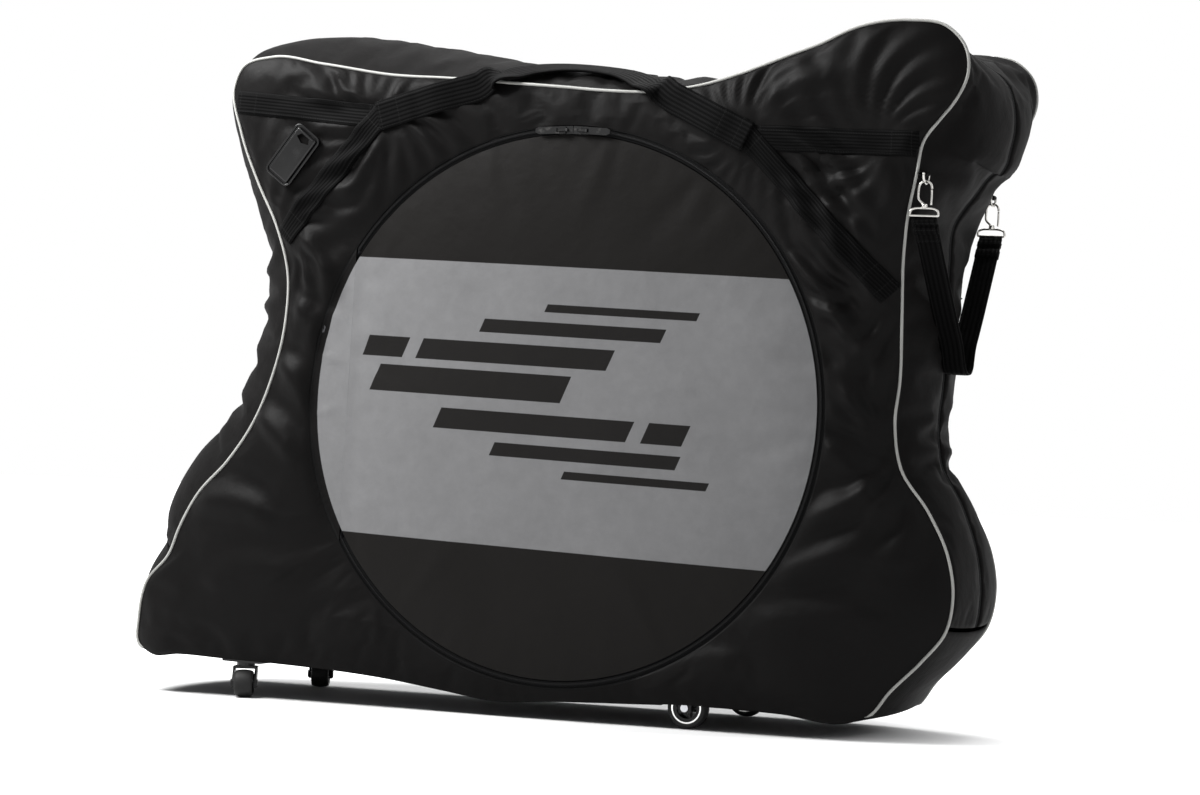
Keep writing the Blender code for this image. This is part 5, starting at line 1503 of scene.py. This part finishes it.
    def handles(self) -> None:
        """Makes both carry handles."""
        points, normals = self.trail()
        for tree in (self.sides.skin, self.crown.skin):
            for i, point in enumerate(points):
                spot, _, _, far = tree.find_nearest(point)
                over = (point - spot).dot(normals[i])
                if far < 0.05 and over < self.clear:
                    points[i] = point + normals[i] * (self.clear - over)
        long = sum((b - a).length for a, b in zip(points, points[1:]))
        near = self.ribbon(points, normals, HANDLE_WIDE, 0.0030)
        finish = Webbing("handle_webbing", HANDLE_WIDE, long, 7).build()
        for side, body in Bench.both(near):
            piece = Bench.deliver(body, f"{side.title}_handle_webbing", finish, None, "webbing",
                                  [f"{side.title}_carry_handle"])
            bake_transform(piece)

    def build(self) -> None:
        """Makes the yokes and handles."""
        self.yokes()
        self.handles()


@dataclass
class TagHolder:
    """Moulded holder for an address card, rimmed, with a notch at its mouth."""

    sides: PaddedSides
    finishes: Finishes
    size: tuple[float, float, float] = (0.042, 0.078, 0.0050)
    rim: float = 0.0045
    lean: float = radians(53.5)

    def build(self) -> None:
        """Makes the holder."""
        wide, long, thick = self.size
        body = Bench.block(self.size, (0, 0, thick / 2))
        Bench.take(body)
        bpy.ops.object.mode_set(mode="EDIT")
        data = bmesh.from_edit_mesh(body.data)
        bpy.ops.mesh.select_mode(type="EDGE")
        bpy.ops.mesh.select_all(action="DESELECT")
        for edge in data.edges:
            edge.select_set(abs(edge.verts[0].co[2] - edge.verts[1].co[2]) > thick / 2)
        bmesh.update_edit_mesh(body.data)
        bpy.ops.mesh.bevel(offset=wide / 5, segments=6, affect="EDGES")
        bpy.ops.object.mode_set(mode="OBJECT")

        def groove() -> None:
            """Presses a flat bed inside the rim."""
            bpy.ops.mesh.inset(thickness=self.rim * 0.55, depth=0)
            bpy.ops.mesh.extrude_region_move(TRANSFORM_OT_translate={"value": (0, 0, -0.0024)})
        Bench.edit(body, lambda f: f.normal[2] > 0.9, groove)
        Bench.apply(body, "BEVEL", width=0.0006, segments=3, limit_method="ANGLE", angle_limit=CORNERED)
        pad = Bench.block((wide - self.rim * 2.2, long - self.rim * 2.2, thick), (0, 0, thick * 0.75))
        Bench.apply(pad, "BEVEL", width=0.0044, segments=6)
        Bench.clear()
        bpy.ops.mesh.primitive_cone_add(vertices=5, radius1=0.0092, radius2=0.0098, depth=0.0066)
        notch = bpy.context.object
        mouth = Vector((0, long / 2 - self.rim * 3.04, thick * 1.25))
        notch.data.transform(Matrix.Translation(mouth) @ Matrix.Diagonal((1.15, 0.62, 1, 1))
                             @ Matrix.Rotation(pi, 4, "Z"))
        Bench.apply(pad, "BOOLEAN", operation="DIFFERENCE", object=notch)
        bpy.data.objects.remove(notch)
        lip = Bench.block((wide * 0.60, 0.0024, 0.0040), (0, long / 2 - self.rim * 1.5, thick * 1.05))
        Bench.apply(lip, "BEVEL", width=0.0009, segments=3)
        Bench.join(body, pad, lip)
        x, z = TAG
        step = 0.02
        face = (self.sides.face(x + step, z, 0) - self.sides.face(x - step, z, 0)).cross(
            self.sides.face(x, z + step, 0) - self.sides.face(x, z - step, 0)).normalized()
        face = face if face[1] < 0 else -face
        up = Vector((cos(self.lean), 0, sin(self.lean)))
        across = up.cross(face).normalized()
        up = face.cross(across).normalized()
        middle = self.sides.face(x, z, 0)
        shares = (-0.42, 0, 0.42)
        corners = [middle + across * wide * a + up * long * b for a in shares for b in shares]
        proud = max((self.sides.face(c[0], c[2], 0) - middle).dot(face) for c in corners)
        turn = Matrix((across, up, face)).transposed().to_4x4()
        placed = BAG @ (Matrix.Translation(middle + face * (proud * 0.7)) @ turn)
        Bench.deliver(body, "address_holder", self.finishes["gloss_finish"], "front_side", "plastic",
                      ["tag_holder"], placed, CORNERED)
        # The notch's walls and floor take the matte nylon, for the cloth at the card slot's mouth; it renders
        # darker than the gloss round it, so it is partly a painted shade in the notch.
        body.data.materials.append(self.finishes["gusset_nylon"])
        back = placed.inverted()
        for part in body.data.polygons:
            x, y, z = back @ part.center - mouth
            part.material_index = int(abs(x) < 0.0125 and abs(y) < 0.0062 and -0.0035 < z < -0.0004)


@dataclass
class EndHardware:
    """Rings, snap hooks and the pull strap at the tall end."""

    outline: Outline
    finishes: Finishes
    wire: float = 0.0015
    ring_half: float = 0.0115
    strap_wide: float = 0.030
    bar_off: float = 0.0105

    def bar(self, side: Side) -> Vector:
        """Finds the middle of a ring's straight bar.

        Args:
            side: the ring's side.
        Returns:
            The place.
        """
        o = self.outline
        talls = [i for i in range(o.count) if o.points[i, 0] > LENGTH / 4]
        i = min(talls, key=lambda n: abs(o.points[n, 1] - RING[2]))
        return Vector((o.points[i, 0] + self.bar_off, side.value * RING[1], RING[2]))

    def ring(self, side: Side) -> None:
        """Makes a sewn tab and its D ring.

        Args:
            side: their side.
        """
        bar = self.bar(side)
        inner = self.ring_half - self.wire
        points = [bar + Vector((0, y, 0)) for y in (-inner, -inner * 0.9, 0, inner * 0.9, inner)]
        points += [bar + Vector((0, self.ring_half * cos(a), -self.ring_half * sin(a)))
                   for a in np.linspace(0, pi, 13)]
        loop = Bench.wire(points, self.wire, ring=True)
        sleeve_half = inner - 2 * self.wire
        back = Vector((-self.bar_off + PIPING_RADIUS, 0, 0))
        ways = [Vector((cos(a), 0, sin(a))) for a in np.linspace(-pi / 2, pi / 2, 9)]
        lead = [bar + back + Vector((0, 0, -0.0016)), bar + Vector((-0.003, 0, -0.0022))]
        tail = [bar + Vector((-0.003, 0, 0.0022)), bar + back + Vector((0, 0, 0.0016))]
        normals = [Vector((0, 0, -1))] * 2 + ways + [Vector((0, 0, 1))] * 2
        tab = Straps.ribbon(lead + [bar + way * 0.0024 for way in ways] + tail, normals, 2 * sleeve_half,
                            0.0012)
        Bench.deliver(loop, f"{side.title}_d_ring", self.finishes["nickel_finish"], f"{side.title}_side",
                      "nickel", [f"{side.title}_end_ring"])
        finish = Webbing(f"{side.title}_tab_webbing", 2 * sleeve_half, 0.04, 4, False).build()
        Bench.deliver(tab, f"{side.title}_ring_tab", finish, f"{side.title}_side", "webbing")

    def hook(self, side: Side) -> Vector:
        """Makes a snap hook with its swivel eye and gate.

        Args:
            side: their side.
        Returns:
            The end of the strap that hangs from the eye.
        """
        bar = self.bar(side)
        radius, leg = 0.0080, 0.0150
        top = bar - Vector((0, 0, self.ring_half + radius - 2 * self.wire - 2 * GAP))
        foot = top - Vector((0, 0, leg))
        barrel_top = foot - Vector((0, 0, radius / 2))
        bow = [barrel_top + Vector((0, 0, -0.002)), barrel_top + Vector((-0.002, 0, 0.0002)),
               foot + Vector((-radius, 0, 0.001)), foot + Vector((-radius * 1.05, 0, leg / 2))]
        bow += [top + Vector((-radius * cos(a), 0, radius * sin(a))) for a in np.linspace(0, pi, 9)]
        bow.append(top + Vector((radius, 0, -0.0012)))
        body = Bench.wire(bow, self.wire, fine=5)
        barrel = Bench.lathe([(0.0006, 0), (0.0026, 0), (0.0036, -0.0008), (0.0037, -0.0045),
                              (0.0028, -0.0058), (0.0006, -0.006)], 24)
        barrel.data.transform(Matrix.Translation(barrel_top))
        mid = barrel_top - Vector((0, 0, 0.006 + 0.004))
        half, high, corner = 0.0175, 0.0045, 0.003
        eye = [mid + Vector((x, 0, z)) for x, z in (
            (0, high), (half * 0.6, high), (half * 0.95, high * 0.5), (half, -high * 0.3), (half, -high),
            (half - corner, -high), (0, -high), (corner - half, -high), (-half, -high), (-half, -high * 0.3),
            (-half * 0.95, high * 0.5), (-half * 0.6, high))]
        loop = Bench.wire(eye, self.wire, ring=True)
        Bench.join(body, barrel, loop)
        rider = "strap" if side is Side.FRONT else "rear_hook"
        Bench.deliver(body, f"{side.title}_hook", self.finishes["nickel_finish"], rider, "nickel",
                      [f"{side.title}_snap_hook"])
        gate_foot = barrel_top + Vector((radius, 0, -self.wire))
        gate_top = top + Vector((radius, 0, -0.0018))
        gate = Bench.wire([gate_foot, gate_foot + Vector((0.0004, 0, leg / 2)), gate_top], self.wire * 0.85)
        Bench.deliver(gate, f"{side.title}_gate", self.finishes["nickel_finish"], f"{side.title}_gate",
                      "nickel", [f"{side.title}_hook_gate"])
        return mid - Vector((0, 0, high + self.wire + 2 * GAP))

    def strap(self, ends: Sequence[Vector]) -> None:
        """Makes the hanging strap, with a sewn fold at each eye.

        Args:
            ends: the ends that it hangs from, the near one first.
        """
        reach, drop, turn, thick, wide = abs(ends[0][1]), 0.180, 0.022, 0.0022, self.strap_wide
        high, low = ends[0][2], ends[0][2] - drop
        half = [(-reach * y, high - (drop - turn) * d) for y, d in STRAP_SHARES]
        half += [(-turn * cos(a), low + turn - turn * sin(a)) for a in (0.25, pi / 6, pi / 3)]
        line = half + [(0, low)] + [(-y, z) for y, z in reversed(half)]
        points = [Vector((ends[0][0] + 0.010 * (high - z) / drop, y, z)) for y, z in line]
        points = Straps.rounded(points, 5)
        normals = []
        for i in range(len(points)):
            way = points[min(i + 1, len(points) - 1)] - points[max(i - 1, 0)]
            normals.append(Vector((0, -way[2], way[1])).normalized() * -1)
        start = [p - n * thick * 0.5 for p, n in zip(points, normals)]
        long = sum((b - a).length for a, b in zip(points, points[1:]))
        body = Straps.ribbon(start, normals, wide, thick)
        caps = []
        for end in (slice(1, 9), slice(-9, -1)):
            run, ways = points[end], normals[end]
            for face in (-1, 1):
                looks = [n * face for n in ways]
                caps.append(Straps.ribbon([p + n * thick * 0.62 for p, n in zip(run, looks)], looks,
                                          wide * 0.98, 0.0014))
                for k in (0, 3):
                    part = [p + n * thick * 1.1 for p, n in zip(run[k:k + 3], looks[k:k + 3])]
                    caps.append(Straps.ribbon(part, looks[k:k + 3], wide * 1.01, 0.0022))
        Bench.join(body, *caps)
        finish = Webbing("pull_strap_webbing", wide, long, 5).build()
        Bench.deliver(body, "hanging_strap", finish, "strap", "webbing", ["pull_strap"])

    def build(self) -> None:
        """Makes everything that hangs at the tall end."""
        ends = []
        for side in Side:
            self.ring(side)
            ends.append(self.hook(side))
        self.strap(ends)


@dataclass
class Wheels:
    """Fixed wheels and caster wheels."""

    finishes: Finishes
    toed: float = radians(113)

    def tyre(self, radius: float, wide: float, inner: float) -> bpy.types.Object:
        """Turns a rounded tyre round z.

        Args:
            radius: its outer radius.
            wide: its width.
            inner: its inner radius.
        Returns:
            The tyre.
        """
        half = wide / 2
        arc = [(inner + (radius - inner) * sin(a) ** 0.6, half * cos(a))
               for a in np.linspace(0.02, pi - 0.02, 13)]
        return Bench.lathe([(inner, half * 0.86)] + arc + [(inner, -half * 0.86)], 64)

    def hub(self, inner: float, wide: float, spokes: int) -> bpy.types.Object:
        """Makes a spoked hub round z.

        Args:
            inner: the inner radius of what it carries.
            wide: its width.
            spokes: how many spokes it has.
        Returns:
            The hub.
        """
        half = wide / 2
        rim = [(0.0035, 0.80), (0.0006, 0.84), (0.0001, 0.7), (0.0001, -0.7), (0.0006, -0.84),
               (0.0035, -0.80), (0.0035, -0.2), (0.0035, 0.2)]
        body = Bench.lathe([(inner - deep, half * share) for deep, share in rim], 48)
        core = [(0.0036, 0.98), (0.0062, 0.94), (0.0070, 0.7), (0.0070, -0.7), (0.0062, -0.94),
                (0.0036, -0.98)]
        centre = Bench.lathe([(radius, half * share) for radius, share in core], 32)
        arms = []
        for k in range(spokes):
            arm = Bench.block((inner - 0.009, 0.0030, wide * 0.55), ((inner + 0.0035) / 2, 0, 0))
            Bench.apply(arm, "BEVEL", width=0.0006, segments=2)
            arm.data.transform(Matrix.Rotation(2 * pi * k / spokes, 4, "Z"))
            arms.append(arm)
        return Bench.join(body, centre, *arms)

    def build(self) -> None:
        """Makes the four wheels and their bolts."""
        for side in Side:
            name = side.title
            low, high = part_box(f"{name}_fixed_wheel")
            at = Matrix.Translation((low + high) / 2) @ Matrix.Rotation(pi / 2, 4, "X")
            tyre = self.tyre(0.026, 0.020, 0.0195)
            Bench.deliver(tyre, f"{name}_tyre", self.finishes["tyre_finish"], f"{name}_wheel", "tyre",
                          [f"{name}_fixed_wheel"], at)
            bead = [(0.0166, 0.0072), (0.0176, 0.0086), (0.0196, 0.0086), (0.0199, 0.0070)]
            ring = Bench.lathe(bead + [(radius, -half) for radius, half in reversed(bead)], 64)
            Bench.deliver(ring, f"{name}_wheel_ring", self.finishes["rim_finish"], f"{name}_wheel", "alloy",
                          (), at, CORNERED)
            Bench.deliver(self.hub(0.0170, 0.018, 5), f"{name}_hub", self.finishes["moulded_finish"],
                          f"{name}_wheel", "plastic", (), at, CORNERED)
            low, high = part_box(f"{name}_caster_wheel")
            turn = Matrix.Rotation(self.toed, 4, "Z") @ Matrix.Rotation(pi / 2, 4, "X")
            at = Matrix.Translation((low + high) / 2) @ turn
            tyre = self.tyre(0.018, 0.024, 0.0135)
            Bench.deliver(tyre, f"{name}_caster_tyre", self.finishes["tyre_finish"], f"{name}_roller", "tyre",
                          [f"{name}_caster_wheel"], at)
            Bench.deliver(self.hub(0.0137, 0.022, 6), f"{name}_caster_hub", self.finishes["moulded_finish"],
                          f"{name}_roller", "plastic", (), at, CORNERED)


class Kept:
    """Nodes of the part whose own shape is right, with their finishes."""

    PLAN: dict[str, tuple[str, ...]] = {
        "board_finish": ("base_board",),
        "alloy_finish": ("front_base_rail", "rear_base_rail", "fork_mount", "skewer_lever"),
        "steel_finish": ("fork_skewer", "front_wheel_axle", "rear_wheel_axle"),
        "moulded_finish": ("frame_cradle", "front_caster_housing", "rear_caster_housing", "front_caster_fork",
                           "rear_caster_fork", "front_wheel_bracket", "rear_wheel_bracket"),
        "slider_finish": tuple(f"{place}_{piece}" for place in (
            "front_pocket_low", "front_pocket_tall", "rear_pocket_low", "rear_pocket_tall", "main_low",
            "main_tall") for piece in ("slider", "pull")),
    }

    @classmethod
    def dress(cls, finishes: Finishes) -> None:
        """Gives each kept node its finish.

        Args:
            finishes: the finishes.
        """
        for finish, names in cls.PLAN.items():
            for name in names:
                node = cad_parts[name]
                for place in node.material_slots:
                    place.material = finishes[finish]
                if not node.material_slots:
                    node.data.materials.append(finishes[finish])
            LOG.info("%s on %d kept nodes", finish, len(names))


@dataclass
class Studio:
    """Camera, soft lamps and the pale floor."""

    yaw: float = 0.4001
    pitch: float = 0.0183
    roll: float = 0.0341
    at: tuple[float, float, float] = (1.4974, -3.4341, 0.3379)
    lens: float = 86.8
    shift: tuple[float, float, float] = (0.07, 0, 0)
    # Glow of the floor as shape, start, full distance and value: the first stays low in an ellipse under the
    # bag, a painted shadow; the second turns the floor white further off.
    fades: tuple[tuple, ...] = (((1 / 0.53, 1 / 0.24, 1), 0.88, 1.4, 0.80), ((1, 1, 1), 0.9, 2.2, 0.60))

    def camera(self) -> None:
        """Puts the camera where the photograph was taken."""
        data = bpy.data.cameras.new("camera")
        data.lens, data.sensor_width, data.clip_end = self.lens, 36, 60
        camera = bpy.data.objects.new("camera", data)
        bpy.context.scene.collection.objects.link(camera)
        ahead = Vector((-sin(self.yaw) * cos(self.pitch), cos(self.yaw) * cos(self.pitch), sin(self.pitch)))
        right = ahead.cross(Vector((0, 0, 1))).normalized()
        up = right.cross(ahead)
        c, s = cos(self.roll), sin(self.roll)
        across, over = right * c + up * s, up * c - right * s
        turn = Matrix((across, over, -ahead)).transposed().to_4x4()
        camera.matrix_world = Matrix.Translation(self.at) @ turn
        bpy.context.scene.camera = camera

    @staticmethod
    def lamp(name: str, at: Sequence[float], to: Sequence[float], size: tuple[float, float],
             power: float) -> None:
        """Adds a soft lamp.

        Args:
            name: its name.
            at: its place.
            to: what it looks at.
            size: its width and height.
            power: its power in watts.
        """
        data = bpy.data.lights.new(name, "AREA")
        data.shape, data.size, data.size_y, data.energy = "RECTANGLE", size[0], size[1], power
        lamp = bpy.data.objects.new(name, data)
        bpy.context.scene.collection.objects.link(lamp)
        lamp.location = at
        lamp.rotation_euler = (Vector(to) - Vector(at)).to_track_quat("-Z", "Y").to_euler()

    def surround(self) -> None:
        """Lights the bag from a plain world that the camera sees white."""
        r = Recipe(bpy.data.worlds.new("surround"))
        r.set(Color=(0.95, 0.97, 1, 1), Strength=0.16)
        white = r.add("ShaderNodeBackground", None, {"Color": (1, 1, 1, 1), "Strength": 1.0})
        r.show(Tap(r, r.shader.outputs[0]), white)
        bpy.context.scene.world = r.holder

    def floor(self) -> None:
        """Makes the pale floor, which keeps the shadow and turns white further off; its own glow stays low
        under the bag, a painted shadow there.
        """
        Bench.clear()
        bpy.ops.mesh.primitive_plane_add(size=30, location=(0, 0, -0.0005))
        floor = bpy.context.object
        floor.name = "floor"
        bpy.ops.object.transform_apply(location=True, rotation=True, scale=True)
        r = Recipe(bpy.data.materials.new("floor_finish"))
        r.set(Base_Color=(0.82, 0.82, 0.82, 1), Roughness=0.9, Specular_IOR_Level=0.1)
        at = r.add("ShaderNodeVectorMath", None, {0: r.place(), 1: self.shift})
        # under keeps the floor's glow low beneath the bag, a painted shadow; around turns the floor white
        # further off.
        under, around = (self.fade(r, at, *fade) for fade in self.fades)
        glow = r.add("ShaderNodeEmission", None, {"Color": under + around, "Strength": 1.0})
        shader = Tap(r, r.shader.outputs[0])
        r.show(shader, r.add("ShaderNodeAddShader", None, {0: shader, 1: glow}))
        floor.data.materials.append(r.holder)

    @staticmethod
    def fade(r: Recipe, at: Tap, shape: tuple[float, float, float], low: float, high: float,
             full: float) -> Tap:
        """A soft rise of the floor's own light away from the bag; where it stays low near the bag, it is a
        painted shadow.

        Args:
            r: the floor's recipe.
            at: places on the floor.
            shape: how fast each axis counts.
            low: the distance where it starts.
            high: the distance where it is full.
            full: its value there.
        Returns:
            The light.
        """
        spread = r.add("ShaderNodeVectorMath", {"operation": "MULTIPLY"}, {0: at, 1: shape})
        far = r.add("ShaderNodeVectorMath", {"operation": "LENGTH"}, {0: spread}, "Value")
        return r.add("ShaderNodeMapRange", {"interpolation_type": "SMOOTHSTEP"},
                     {"Value": far, "From Min": low, "From Max": high, "To Max": full})

    def build(self) -> None:
        """Makes the whole studio."""
        self.camera()
        self.surround()
        self.floor()
        self.lamp("key", (-1.05, -0.75, 1.70), (-0.25, 0, 0.65), (0.9, 0.6), 66)
        self.lamp("fill", (2.3, -1.0, 1.4), (0.3, 0, 0.5), (0.5, 1.5), 9)
        self.lamp("top", (0.0, 0.8, 2.6), (0, 0, 0.3), (2.0, 0.9), 52)
        bpy.context.scene.view_settings.view_transform = "Standard"


def main() -> None:
    """Builds the sub-assemblies in order."""
    logging.basicConfig(level=logging.INFO, format="%(message)s")
    Studio().build()
    finishes = Finishes()
    outline = Outline()
    sides = PaddedSides(outline, finishes)
    sides.build()
    crown = Gussets(outline, finishes)
    crown.build()
    Boot(outline, finishes).build()
    WheelPockets(finishes).build()
    Straps(outline, sides, crown, finishes).build()
    TagHolder(sides, finishes).build()
    EndHardware(outline, finishes).build()
    Wheels(finishes).build()
    Kept.dress(finishes)


if __name__ == "__main__":
    main()
